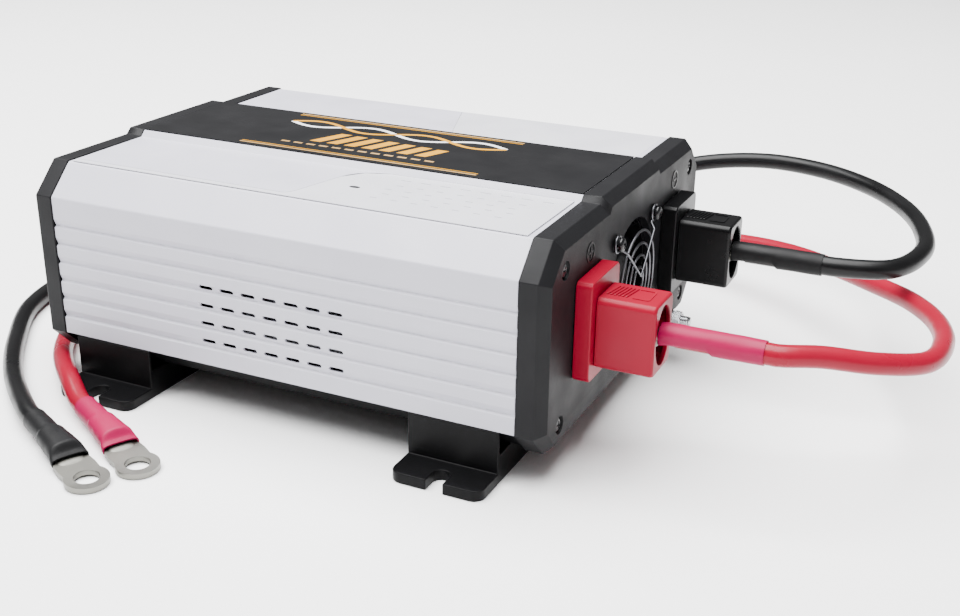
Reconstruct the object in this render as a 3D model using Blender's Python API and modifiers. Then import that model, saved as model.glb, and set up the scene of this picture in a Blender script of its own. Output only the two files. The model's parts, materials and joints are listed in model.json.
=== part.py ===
"""Power inverter: a ribbed white cover on a black tray, with two end bezels and cable terminals.

Metres, +Z up. The unit stands on the plane z = 0. The direct-current end with the fan and the
terminals faces +X, the mains end faces -X, and one vented side faces -Y. Every place below is
given from the middle of the housing; the parent empty moves the whole unit so that the middle
of its box, cables left out, is at x = 0.
"""
import math

import bmesh
import bpy
from mathutils import Matrix, Vector

MM = 0.001
GAP = 0.3 * MM
WELD = 0.01 * MM

# Housing
COVER_LENGTH = 230 * MM
COVER_HALF_WIDTH = 100 * MM
COVER_BOTTOM = 24 * MM
COVER_TOP = 103.5 * MM
COVER_CHAMFER = 13.5 * MM
SHEET = 1.2 * MM
STRIP_RISE = 2.7 * MM
STRIP_HALF_WIDTH = 33.1 * MM
GROOVE_PITCH = 8.85 * MM
GROOVE_LOWEST = 32.3 * MM
GROOVE_COUNT = 6
GROOVE_DEPTH = 0.6 * MM
VENT_COLUMNS = 7
VENT_ROWS = 4
VENT_PITCH_X = 10.9 * MM
VENT_PITCH_Z = 8.45 * MM
VENT_LOWEST = 35.6 * MM
VENT_LENGTH = 7.2 * MM
VENT_HEIGHT = 1.8 * MM
TRAY_INSET = 1.6 * MM
TRAY_BOTTOM = 13.6 * MM
TRAY_CHAMFER = 10.2 * MM
TRAY_LAP = 6.5 * MM

# The clear label on the front of the top face, its edge in millimetres
LABEL_OUTLINE = [
    (-113, -86), (112.5, -86), (112.5, -36.3), (54, -36.3), (25, -37.6), (14.5, -41.5),
    (7.5, -51.6), (1.5, -78.5), (-2.5, -82.8), (-113, -82.6),
]

# End bezels
BEZEL_LAP = 0.6 * MM
BEZEL_FACE = 127.75 * MM
BEZEL_BEVEL = 4.3 * MM
BEZEL_BOTTOM = 12.5 * MM
BEZEL_WALL = 4.5 * MM
PANEL = 4 * MM
CORNER_SCREW_Y = 83 * MM
CORNER_SCREW_Z = (24 * MM, 91 * MM)
CORNER_RECESS = 2.6 * MM

# Feet
FOOT_INNER_X = 67 * MM
FOOT_OUTER_X = 108.6 * MM
FOOT_REACH = 117.5 * MM
FOOT_WALL_Y = 100.5 * MM
FOOT_SHEET = 1.8 * MM
FOOT_TOP = 13.2 * MM
FLANGE_THICKNESS = 5 * MM
SLOT_WIDTH = 7.5 * MM
SLOT_DEPTH = 10.5 * MM

# Fan
FAN_Z = 59 * MM
FAN_SIZE = 60 * MM
FAN_DEPTH = 20 * MM
FAN_OPENING = 29 * MM
FAN_BORE = 28.5 * MM
FAN_HUB = 12.5 * MM
FAN_SCREW = 25 * MM
FAN_BLADES = 7
GUARD_WIRE = 0.8 * MM
GUARD_RINGS = (6.5 * MM, 12 * MM, 17.5 * MM, 23.3 * MM)
GUARD_BULGE = 4.4 * MM
GUARD_KINK = 26.5 * MM
GUARD_EYE = 3.7 * MM

# Battery terminals
TERMINAL_Y = 56 * MM
CABLE_Z = 60.5 * MM
BOLT_X = 145.2 * MM
FLANGE_SIZE = (32.6 * MM, 43.6 * MM)
FLANGE_Z = 61 * MM
FLANGE_DEPTH = 7.15 * MM
BOOT_SIZE = (23 * MM, 31 * MM)
BOOT_Z = 60 * MM
BOOT_END = 160.5 * MM
BOOT_WALL = 1.6 * MM
BOOT_MOUTH = (9 * MM, 12.8 * MM)
RIB_COUNT = 6
RIB_START = 2.5 * MM
RIB_PITCH = 1.6 * MM
RIB_HALF_LENGTH = 6 * MM
RIB_RISE = 0.6 * MM
BAR_SIZE = (16 * MM, 3 * MM)
GROUND_Y = 45 * MM
GROUND_Z = 25 * MM

# Lugs, sleeves and cables
CABLE_RADIUS = 4.6 * MM
SLEEVE_INNER = 4.9 * MM
SLEEVE_OUTER = 5.3 * MM
LUG_RING = 9.25 * MM
LUG_PALM = 2.4 * MM
LUG_BARREL = 4.1 * MM
BARREL_START = 9.5 * MM
BARREL_END = 20.8 * MM
STUD_HOLE = 5.15 * MM
TERMINAL_HOLE = 4.3 * MM
FREE_LUG_LIFT = 0.7 * MM
FREE_LUG_PITCH = math.radians(2.5)
FREE_SLEEVE = (17 * MM, 54 * MM)
TERMINAL_LAP = 6.5 * MM
BLACK_LUG = (-41 * MM, -174 * MM)
BLACK_LUG_TURN = math.radians(154.5)
RED_LUG = (-30.2 * MM, -155.7 * MM)
RED_LUG_TURN = math.radians(153.4)
CABLE_POINTS = 50
# A cable is straight inside its sleeves: millimetres from the terminal barrel and the free lug
STRAIGHT_START = (0, 12, 24, 36, 41)
STRAIGHT_END = (61, 54.5, 40)

# Routes in millimetres, from beside the terminal, round behind the unit, to the free lug
BLACK_ROUTE = [
    (231.5, 65.7, 60.3), (241.8, 96.6, 60.5), (236.9, 130.3, 61.2), (223.1, 163.2, 61.7),
    (200.4, 191.9, 62.2), (169.4, 213.1, 62.2), (132.9, 224.7, 60), (94.6, 225.6, 53.1),
    (57.8, 218.5, 40), (21.4, 208.4, 26.3), (-16.5, 197.9, 15.2), (-54.9, 184.7, 7.8),
    (-92.1, 166.5, 5.1), (-126.6, 142.7, 4.8), (-156.7, 113, 4.8), (-180.4, 77.6, 4.8),
    (-195.1, 37.3, 4.8), (-199, -5.7, 4.8), (-189, -47.9, 4.8), (-164.6, -84.1, 4.8),
    (-135, -116.9, 5.4),
]
RED_ROUTE = [
    (222, -47.6, 59.6), (241.9, -35.9, 56.1), (258.8, -16.3, 52.1), (262.5, 12.4, 49.5),
    (256.6, 42.8, 46.9), (242.1, 71.9, 43.9), (220.6, 98.1, 40.2), (195.7, 123.1, 36.9),
    (167.6, 146.1, 33.2), (135.1, 164, 28), (98.9, 175.3, 21.5), (60.5, 180.3, 14.8),
    (20.7, 179.4, 9.1), (-19.6, 173.1, 5.8), (-59.7, 161.7, 4.8), (-98.1, 143.8, 4.8),
    (-132.7, 118.1, 4.8), (-159, 83.4, 4.8), (-171.7, 41.2, 4.8), (-170.5, -3.6, 4.8),
    (-156.6, -46.8, 4.8), (-134.2, -83.4, 7), (-117.2, -102.2, 9.2), (-97.2, -119.3, 10.2),
]

# Mains end
AC_FACE = -BEZEL_FACE
AC_REACH = 131.05 * MM
OUTLET_Y = (-42 * MM, -2 * MM)
OUTLET_Z = 59 * MM
SWITCH_Y = 46 * MM
SWITCH_Z = 70 * MM
SWITCH_HALF_TURN = math.radians(9)
USB_Y = 46 * MM
USB_Z = 42 * MM
REMOTE_Y = 76 * MM
REMOTE_Z = 42 * MM
LAMP_Y = 76 * MM
LAMP_Z = (66 * MM, 76 * MM)
LAMP_RADIUS = 1.5 * MM
LAMP_PROUD = 1.3 * MM
PANEL_CUT = 9 * MM

# Inside the housing
INSIDE_X = 98 * MM
BOARD_HALF_WIDTH = 72 * MM
BOARD_Z = 22 * MM
BOARD_TOP = 23.6 * MM
SINK_INNER_Y = 75 * MM
SINK_OUTER_Y = 93 * MM
SINK_TOP = 84 * MM
SINK_WEB = 12 * MM
SINK_GAPS = 6
SINK_PITCH = 9 * MM
SINK_GAP = 5.2 * MM
TRANSFORMER_X = (46 * MM, -4 * MM)
CORE_SIZE = 40 * MM
CORE_HEIGHT = 34 * MM
COIL_HEIGHT = 40 * MM
COIL_RADIUS = 17 * MM
CAPACITOR_PLACE = (-62 * MM, 30 * MM)
CAPACITOR_RADIUS = 15 * MM
CAPACITOR_HEIGHT = 45 * MM

# The unit stands so that everything but the cables is centred on the origin
UNIT_X = (AC_REACH - BOLT_X - BARREL_END) / 2

FINISHES = {
    "white_powder_coat": ((0.76, 0.75, 0.79), 0.45, 0.1),
    "black_steel": ((0.03, 0.03, 0.032), 0.5, 0.3),
    "black_plastic": ((0.045, 0.045, 0.048), 0.5, 0.0),
    "label_film": ((0.05, 0.05, 0.053), 0.4, 0.0),
    "clear_label": ((0.8, 0.8, 0.81), 0.3, 0.0),
    "red_plastic": ((0.52, 0.03, 0.06), 0.4, 0.0),
    "tinned_copper": ((0.62, 0.61, 0.58), 0.35, 1.0),
    "steel": ((0.6, 0.6, 0.62), 0.3, 1.0),
    "black_steel_screw": ((0.04, 0.04, 0.045), 0.35, 0.8),
    "red_sleeve": ((0.8, 0.13, 0.22), 0.6, 0.0),
    "black_sleeve": ((0.04, 0.04, 0.042), 0.7, 0.0),
    "red_cable": ((0.75, 0.1, 0.16), 0.5, 0.0),
    "black_cable": ((0.02, 0.02, 0.022), 0.45, 0.0),
    "green_lamp": ((0.1, 0.6, 0.2), 0.2, 0.0),
    "red_lamp": ((0.6, 0.08, 0.06), 0.2, 0.0),
    "circuit_board": ((0.03, 0.2, 0.09), 0.5, 0.0),
    "aluminium": ((0.7, 0.7, 0.72), 0.4, 1.0),
    "ferrite": ((0.08, 0.075, 0.07), 0.6, 0.0),
    "capacitor_sleeve": ((0.03, 0.04, 0.1), 0.35, 0.0),
}


def clear_scene():
    for ob in list(bpy.data.objects):
        bpy.data.objects.remove(ob, do_unlink=True)


clear_scene()
PARTS = bpy.data.collections.new("power_inverter")
CUTTERS = bpy.data.collections.new("cutters")
bpy.context.scene.collection.children.link(PARTS)
bpy.context.scene.collection.children.link(CUTTERS)
UNIT = bpy.data.objects.new("unit_frame", None)
UNIT.location = (UNIT_X, 0, 0)
PARTS.objects.link(UNIT)


# ---------------------------------------------------------------- helpers

def finish(slot):
    """The shared material of one finish."""
    found = bpy.data.materials.get(slot)
    if found:
        return found
    colour, roughness, metallic = FINISHES[slot]
    made = bpy.data.materials.new(slot)
    made.use_nodes = True
    shader = made.node_tree.nodes["Principled BSDF"]
    shader.inputs["Base Color"].default_value = (*colour, 1)
    shader.inputs["Roughness"].default_value = roughness
    shader.inputs["Metallic"].default_value = metallic
    made.diffuse_color = (*colour, 1)
    return made


def adopt(name, data, slot, location=(0, 0, 0), turn=None):
    """A new object in the unit's frame. With no finish it is a cutter."""
    ob = bpy.data.objects.new(name, data)
    ob.parent = UNIT
    ob.matrix_local = Matrix.Translation(location) @ (turn or Matrix()).to_4x4()
    if slot:
        PARTS.objects.link(ob)
        ob.data.materials.clear()
        ob.data.materials.append(finish(slot))
    else:
        CUTTERS.objects.link(ob)
        hide(ob)
    return ob


def hide(ob):
    ob.hide_render = True
    ob.display_type = "WIRE"


def smooth(ob, angle=35):
    ob.data.shade_smooth()
    ob.data.set_sharp_from_angle(angle=math.radians(angle))
    return ob


def box(name, slot, low, high, bevel=0.0, segments=2):
    """A box between two corners, with rounded edges where a bevel is given."""
    low, high = Vector(low), Vector(high)
    bm = bmesh.new()
    bmesh.ops.create_cube(bm, size=1, matrix=Matrix.Diagonal((*(high - low), 1)))
    mesh = bpy.data.meshes.new(name)
    bm.to_mesh(mesh)
    bm.free()
    ob = adopt(name, mesh, slot, (low + high) / 2)
    if bevel:
        edge = ob.modifiers.new("rounded edges", "BEVEL")
        edge.width = bevel
        edge.segments = segments
    return ob


def rod(name, slot, start, end, radius, sides=20, end_radius=None, bevel=0.0):
    """A cylinder, or a cone, from one point to another."""
    start, end = Vector(start), Vector(end)
    bm = bmesh.new()
    bmesh.ops.create_cone(bm, cap_ends=True, segments=sides, radius1=radius,
                          radius2=radius if end_radius is None else end_radius,
                          depth=(end - start).length)
    mesh = bpy.data.meshes.new(name)
    bm.to_mesh(mesh)
    bm.free()
    turn = (end - start).to_track_quat("Z", "Y").to_matrix()
    ob = adopt(name, mesh, slot, (start + end) / 2, turn)
    if bevel:
        edge = ob.modifiers.new("edge", "BEVEL")
        edge.width = bevel
        edge.segments = 1
    return smooth(ob)


# A local frame's columns for an outline that faces along each axis
FACING = {
    "X": Matrix(((0, 0, 1), (1, 0, 0), (0, 1, 0))),
    "Y": Matrix(((1, 0, 0), (0, 0, -1), (0, 1, 0))),
    "Z": Matrix.Identity(3),
}


def flat_curve(name, outlines, half, cyclic=True):
    """A 2D curve through the outlines, extruded by half its thickness each way."""
    curve = bpy.data.curves.new(name, "CURVE")
    curve.dimensions = "2D"
    curve.fill_mode = "BOTH" if cyclic else "NONE"
    curve.extrude = half
    for outline in outlines:
        spline = curve.splines.new("POLY")
        spline.points.add(len(outline) - 1)
        for point, (u, v) in zip(spline.points, outline):
            point.co = (u, v, 0, 1)
        spline.use_cyclic_u = cyclic
    return curve


def to_mesh(name, curve):
    """The curve as a welded mesh."""
    guide = bpy.data.objects.new(name, curve)
    bpy.context.scene.collection.objects.link(guide)
    graph = bpy.context.evaluated_depsgraph_get()
    mesh = bpy.data.meshes.new_from_object(guide.evaluated_get(graph))
    bpy.data.objects.remove(guide, do_unlink=True)
    bm = bmesh.new()
    bm.from_mesh(mesh)
    bmesh.ops.remove_doubles(bm, verts=bm.verts, dist=WELD)
    bmesh.ops.recalc_face_normals(bm, faces=bm.faces)
    bm.to_mesh(mesh)
    bm.free()
    mesh.name = name
    return mesh


def prism(name, slot, outlines, facing, low, high):
    """A flat outline, with any holes, that reaches from low to high along its axis."""
    mesh = to_mesh(name, flat_curve(name, outlines, (high - low) / 2))
    turn = FACING[facing]
    middle = turn @ Vector((0, 0, 1)) * (low + high) / 2
    if facing == "Y":
        middle = -middle
    return adopt(name, mesh, slot, middle, turn)


def wire_mesh(name, points, radius, sides, cyclic=False):
    """A round wire through the points, as a closed mesh."""
    curve = bpy.data.curves.new(name, "CURVE")
    curve.dimensions = "3D"
    curve.bevel_depth = radius
    curve.bevel_resolution = sides
    curve.use_fill_caps = True
    spline = curve.splines.new("POLY")
    spline.points.add(len(points) - 1)
    for point, co in zip(spline.points, points):
        point.co = (*co, 1)
    spline.use_cyclic_u = cyclic
    return to_mesh(name, curve)


def boolean(target, other, operation):
    """Cut or fuse a second object into the first, which keeps the modifier."""
    if other.name in PARTS.objects:
        PARTS.objects.unlink(other)
        CUTTERS.objects.link(other)
    hide(other)
    step = target.modifiers.new(other.name, "BOOLEAN")
    step.operation = operation
    step.object = other
    step.solver = "EXACT"


def cut(target, *others):
    for other in others:
        boolean(target, other, "DIFFERENCE")


def fuse(target, *others):
    for other in others:
        boolean(target, other, "UNION")


def gather(name, pieces):
    """Several cutters as one object, so that one Boolean takes them all."""
    bm = bmesh.new()
    for piece in pieces:
        mesh = piece.data.copy()
        mesh.transform(piece.matrix_basis)
        bm.from_mesh(mesh)
        bpy.data.meshes.remove(mesh)
        bpy.data.objects.remove(piece, do_unlink=True)
    mesh = bpy.data.meshes.new(name)
    bm.to_mesh(mesh)
    bm.free()
    return adopt(name, mesh, None)


def arc(centre, radius, start, end, steps):
    """Points on an arc between two angles in degrees, both ends included."""
    points = []
    for step in range(steps + 1):
        angle = math.radians(start + (end - start) * step / steps)
        points.append((centre[0] + radius * math.cos(angle), centre[1] + radius * math.sin(angle)))
    return points


def oval(centre, half_u, half_v, sides):
    points = []
    for step in range(sides):
        angle = math.tau * step / sides
        points.append((centre[0] + half_u * math.cos(angle), centre[1] + half_v * math.sin(angle)))
    return points


def rounded(centre, width, height, radius, steps=3):
    """A rectangle with round corners."""
    u = width / 2 - radius
    v = height / 2 - radius
    points = []
    for quarter, (su, sv) in enumerate(((1, 1), (-1, 1), (-1, -1), (1, -1))):
        corner = (centre[0] + su * u, centre[1] + sv * v)
        points += arc(corner, radius, 90 * quarter, 90 * quarter + 90, steps)
    return points


def mirrored(half):
    """A full outline from its right half, which runs from bottom to top."""
    return half + [(-u, v) for u, v in reversed(half)]


def inset(outline, distance):
    """The outline of a polygon moved inwards by a distance; it runs anticlockwise."""
    moved = []
    count = len(outline)
    for index in range(count):
        before = Vector(outline[index - 1])
        here = Vector(outline[index])
        after = Vector(outline[(index + 1) % count])
        first = (here - before).normalized()
        second = (after - here).normalized()
        inward = Vector((-first.y, first.x)) + Vector((-second.y, second.x))
        reach = distance * 2 / inward.length
        moved.append(tuple(here + inward.normalized() * reach))
    return moved


# ---------------------------------------------------------------- housing

def cover_half():
    """Right half of the cover's section, bottom to top, with its side grooves."""
    side = COVER_HALF_WIDTH
    half = [(side, COVER_BOTTOM)]
    for row in range(GROOVE_COUNT):
        z = GROOVE_LOWEST + row * GROOVE_PITCH
        half += [(side, z - GROOVE_DEPTH), (side - GROOVE_DEPTH, z), (side, z + GROOVE_DEPTH)]
    foot = STRIP_HALF_WIDTH + STRIP_RISE
    half += [(side, COVER_TOP - COVER_CHAMFER), (side - COVER_CHAMFER, COVER_TOP)]
    half += [(foot, COVER_TOP), (STRIP_HALF_WIDTH, COVER_TOP + STRIP_RISE)]
    return half


def bent_sheet(name, slot, half):
    """A sheet folded along the mirrored section, thickened inwards."""
    curve = flat_curve(name, [mirrored(half)], COVER_LENGTH / 2, cyclic=False)
    mesh = to_mesh(name, curve)
    ob = adopt(name, mesh, slot, turn=FACING["X"])
    shell = ob.modifiers.new("sheet", "SOLIDIFY")
    shell.thickness = SHEET
    shell.use_even_offset = True
    shell.offset = -1 if mesh.polygons[0].normal.x > 0 else 1
    return ob


def vent_cutters():
    """Rows of slots, long enough to open both side walls."""
    slots = []
    for row in range(VENT_ROWS):
        z = VENT_LOWEST + row * VENT_PITCH_Z
        for column in range(VENT_COLUMNS):
            x = (column - (VENT_COLUMNS - 1) / 2) * VENT_PITCH_X
            outline = rounded((x, z), VENT_LENGTH, VENT_HEIGHT, VENT_HEIGHT / 2 - WELD, 1)
            name = f"cut_vent_{row}_{column}"
            for side in (-1, 1):
                middle = side * COVER_HALF_WIDTH
                slots.append(prism(name, None, [outline], "Y", middle - 5 * MM, middle + 5 * MM))
    return gather("cut_vents", slots)


def make_housing():
    cover = bent_sheet("top_cover", "white_powder_coat", cover_half())
    cut(cover, vent_cutters())
    edge = COVER_HALF_WIDTH - TRAY_INSET
    fold = COVER_BOTTOM + 0.4 * MM
    tray_half = [(edge - TRAY_CHAMFER, TRAY_BOTTOM), (edge, fold), (edge, fold + TRAY_LAP)]
    bent_sheet("base_tray", "black_steel", [(p[0], p[1]) for p in reversed(tray_half)])
    strip_z = COVER_TOP + STRIP_RISE + GAP
    box("label_strip", "label_film",
        (-COVER_LENGTH / 2 + GAP, -STRIP_HALF_WIDTH + GAP, strip_z),
        (COVER_LENGTH / 2 - GAP, STRIP_HALF_WIDTH - GAP, strip_z + 0.4 * MM))
    label = [(x * MM, y * MM) for x, y in LABEL_OUTLINE]
    prism("front_label", "clear_label", [label], "Z", COVER_TOP + GAP, COVER_TOP + 2 * GAP)


# ---------------------------------------------------------------- end bezels

def bezel_outline():
    side = COVER_HALF_WIDTH + BEZEL_LAP
    top = COVER_TOP + BEZEL_LAP
    lean = BEZEL_LAP * math.tan(math.radians(22.5))
    shoulder = COVER_TOP - COVER_CHAMFER + lean
    foot = STRIP_HALF_WIDTH + STRIP_RISE + lean
    half = [(side - 11.4 * MM, BEZEL_BOTTOM), (side, COVER_BOTTOM), (side, shoulder)]
    half += [(COVER_HALF_WIDTH - COVER_CHAMFER + lean, top)]
    half += [(foot, top), (foot - STRIP_RISE, top + STRIP_RISE)]
    return mirrored(half)


def bezel(name, direction):
    """An end cap with a bevelled front edge and a hollow behind its panel."""
    back = COVER_LENGTH / 2 + GAP
    ends = sorted((direction * back, direction * BEZEL_FACE))
    cap = prism(name, "black_plastic", [bezel_outline()], "X", *ends)
    bm = bmesh.new()
    bm.from_mesh(cap.data)
    front = direction * (BEZEL_FACE - back) / 2
    edges = []
    for edge in bm.edges:
        if all(abs(vert.co.z - front) < WELD for vert in edge.verts) and edge.is_manifold:
            if edge.calc_face_angle() > 1:
                edges.append(edge)
    bmesh.ops.bevel(bm, geom=edges, offset=BEZEL_BEVEL, offset_type="OFFSET", segments=1,
                    affect="EDGES", clamp_overlap=False)
    bm.to_mesh(cap.data)
    bm.free()
    hollow = sorted((direction * (back - 2 * MM), direction * (BEZEL_FACE - PANEL)))
    cut(cap, prism("cut_" + name, None, [inset(bezel_outline(), BEZEL_WALL)], "X", *hollow))
    for side in (-1, 1):
        for z in CORNER_SCREW_Z:
            corner_screw(cap, direction, side * CORNER_SCREW_Y, z)
    return cap


def corner_screw(cap, direction, y, z):
    """A recessed pan-head screw and its place in the cap."""
    end = "dc" if direction > 0 else "ac"
    label = f"{end}_screw_{'front' if y < 0 else 'rear'}_{'upper' if z > FAN_Z else 'lower'}"
    face = BEZEL_FACE
    seat = face - CORNER_RECESS
    recess = rod("cut_recess_" + label, None, (direction * seat, y, z),
                 (direction * (face + 2 * MM), y, z), 4.1 * MM, 16)
    way = rod("cut_way_" + label, None, (direction * (seat - 9 * MM), y, z),
              (direction * (face - MM), y, z), 2.1 * MM, 8)
    cut(cap, recess, way)
    screw(label, direction, y, z, seat + GAP, 3.3 * MM, 2 * MM, 1.7 * MM, 9 * MM)


def screw(name, direction, y, z, seat, head_radius, head_height, shank_radius, shank_length):
    """A pan-head screw along X with a cross recess, its head on the seat."""
    crown = seat + head_height
    body = rod(name, "black_steel_screw", (direction * seat, y, z),
               (direction * crown, y, z), head_radius, 12, 0.82 * head_radius)
    shank = rod("join_" + name, None, (direction * (seat - shank_length), y, z),
                (direction * (seat + head_height / 2), y, z), shank_radius, 8)
    fuse(body, shank)
    reach = 0.52 * head_radius
    blade = 0.4 * MM
    for way, depth, half_y, half_z in (("y", 0.9 * MM, reach, blade), ("z", 0.85 * MM, blade, reach)):
        near, far = sorted((direction * (crown - depth), direction * (crown + MM)))
        cut(body, box(f"cut_cross_{way}_{name}", None, (near, y - half_y, z - half_z),
                      (far, y + half_y, z + half_z)))


# ---------------------------------------------------------------- feet

def make_foot(name, direction):
    """A bar across the unit, open below, with a slotted flange at each end."""
    x0, x1 = sorted((direction * FOOT_INNER_X, direction * FOOT_OUTER_X))
    wall_top = COVER_BOTTOM - GAP
    inside = FOOT_WALL_Y - FOOT_SHEET
    half = [(FOOT_WALL_Y, 0), (FOOT_WALL_Y, wall_top), (inside, wall_top), (inside, FOOT_TOP)]
    foot = prism(name, "black_steel", [mirrored(half)], "X", x0, x1)
    cut(foot, box("cut_" + name, None, (x0 + 2 * MM, -inside, -MM),
                  (x1 - 2 * MM, inside, FOOT_TOP - 2 * MM)))
    middle = (x0 + x1) / 2
    for side in (-1, 1):
        fuse(foot, foot_flange(f"join_flange_{name}_{side}", x0, x1, middle, side))


def foot_flange(name, x0, x1, middle, side):
    """A flange with round outer corners and an open slot that ends in a half round."""
    corner = 5 * MM
    reach = FOOT_REACH
    half_slot = SLOT_WIDTH / 2
    slot_end = reach - SLOT_DEPTH + half_slot
    points = [(x0, FOOT_WALL_Y - MM), (x1, FOOT_WALL_Y - MM)]
    points += arc((x1 - corner, reach - corner), corner, 0, 90, 4)
    points += [(middle + half_slot, reach)]
    points += arc((middle, slot_end), half_slot, 0, -180, 8)
    points += [(middle - half_slot, reach)]
    points += arc((x0 + corner, reach - corner), corner, 90, 180, 4)
    if side < 0:
        points = [(x, -y) for x, y in reversed(points)]
    return prism(name, None, [points], "Z", 0, FLANGE_THICKNESS)


# ---------------------------------------------------------------- fan

def make_fan(panel):
    cut(panel, rod("cut_fan_opening", None, (BEZEL_FACE - 9 * MM, 0, FAN_Z),
                   (BEZEL_FACE + 2 * MM, 0, FAN_Z), FAN_OPENING, 36))
    front = BEZEL_FACE - PANEL - GAP
    back = front - FAN_DEPTH
    outline = rounded((0, FAN_Z), FAN_SIZE, FAN_SIZE, 4 * MM)
    bore = oval((0, FAN_Z), FAN_BORE, FAN_BORE, 32)
    frame = prism("fan_frame", "black_plastic", [outline, bore], "X", back, front)
    strut = 1.6 * MM
    fuse(frame,
         box("join_strut_y", None, (back + 0.3 * MM, -FAN_BORE - MM, FAN_Z - strut),
             (back + 2 * MM, FAN_BORE + MM, FAN_Z + strut)),
         box("join_strut_z", None, (back + 0.4 * MM, -strut, FAN_Z - FAN_BORE - MM),
             (back + 1.9 * MM, strut, FAN_Z + FAN_BORE + MM)),
         rod("join_motor", None, (back + 0.2 * MM, 0, FAN_Z), (back + 2.6 * MM, 0, FAN_Z),
             FAN_HUB, 24))
    make_rotor(back + 3.2 * MM, front - 1.5 * MM)
    eye = BEZEL_FACE + GAP + GUARD_WIRE
    head = BEZEL_FACE + 2 * GAP + 2 * GUARD_WIRE
    for side_y in (-1, 1):
        for side_z in (-1, 1):
            y = side_y * FAN_SCREW
            z = FAN_Z + side_z * FAN_SCREW
            label = f"{'front' if side_y < 0 else 'rear'}_{'upper' if side_z > 0 else 'lower'}"
            hole = rod("cut_fan_screw_" + label, None, (back - MM, y, z),
                       (BEZEL_FACE + MM, y, z), 2.2 * MM, 10)
            cut(panel, hole)
            cut(frame, hole)
            screw("fan_screw_" + label, 1, y, z, head, 3.3 * MM, 2.2 * MM, 1.8 * MM, 14 * MM)
    make_guard(eye)


def make_rotor(back, front):
    """The hub and its pitched blades, with the origin on the shaft."""
    middle = (back + front) / 2
    hub = rod("fan_rotor", "black_plastic", (back, 0, FAN_Z), (front, 0, FAN_Z), FAN_HUB, 24)
    blades = []
    for number in range(FAN_BLADES):
        blade = box(f"blade_{number}", None, (-6 * MM, -0.7 * MM, FAN_HUB - 1.5 * MM),
                    (6 * MM, 0.7 * MM, FAN_BORE - 1.2 * MM))
        pitch = Matrix.Rotation(math.radians(42), 4, "Z")
        place = Matrix.Rotation(math.tau * number / FAN_BLADES, 4, "X")
        turned = Matrix.Translation((middle, 0, FAN_Z)) @ place @ pitch
        blade.matrix_basis = turned @ blade.matrix_basis
        blades.append(blade)
    fuse(hub, gather("join_blades", blades))


def guard_leg(turn, eye, lift):
    """A wire from one corner eye over the middle to the opposite one, lifted off the panel."""
    corner = FAN_SCREW * math.sqrt(2) - GUARD_EYE
    radii = (corner, GUARD_KINK + 3 * MM, GUARD_KINK, 0)
    places = (eye, eye, BEZEL_FACE + 0.8 * GUARD_BULGE, BEZEL_FACE + GUARD_BULGE)
    half = []
    for radius, x in zip(radii, places):
        half.append((x + lift, radius * math.cos(turn), FAN_Z + radius * math.sin(turn)))
    far = []
    for x, y, z in half[:-1]:
        far.append((x, -y, 2 * FAN_Z - z))
    return half + far[::-1]


def ring(name, centre, radius, wire, sides):
    """A round wire ring that faces along X, as a cutter."""
    points = [(u, v, 0) for u, v in oval((0, 0), radius, radius, sides)]
    return adopt(name, wire_mesh(name, points, wire, 1, cyclic=True), None, centre, FACING["X"])


def make_guard(eye):
    """Crossed wires with concentric rings welded behind them and an eye at each corner."""
    diagonal = math.radians(45)
    first = wire_mesh("fan_guard", guard_leg(diagonal, eye, 0), GUARD_WIRE, 1)
    guard = adopt("fan_guard", first, "steel")
    second = wire_mesh("join_leg", guard_leg(-diagonal, eye, 0.35 * MM), GUARD_WIRE, 1)
    fuse(guard, adopt("join_leg", second, None))
    rings = []
    for number, radius in enumerate(GUARD_RINGS):
        share = 1 - 0.2 * radius / GUARD_KINK
        x = BEZEL_FACE + share * GUARD_BULGE - 1.45 * GUARD_WIRE
        rings.append(ring(f"ring_{number}", (x, 0, FAN_Z), radius, GUARD_WIRE, 26))
    fuse(guard, gather("join_rings", rings))
    eyes = []
    for side_y in (-1, 1):
        for side_z in (-1, 1):
            centre = (eye + 0.1 * MM, side_y * FAN_SCREW, FAN_Z + side_z * FAN_SCREW)
            eyes.append(ring("eye", centre, GUARD_EYE, GUARD_WIRE, 10))
    fuse(guard, gather("join_eyes", eyes))


# ---------------------------------------------------------------- battery terminals

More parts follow.
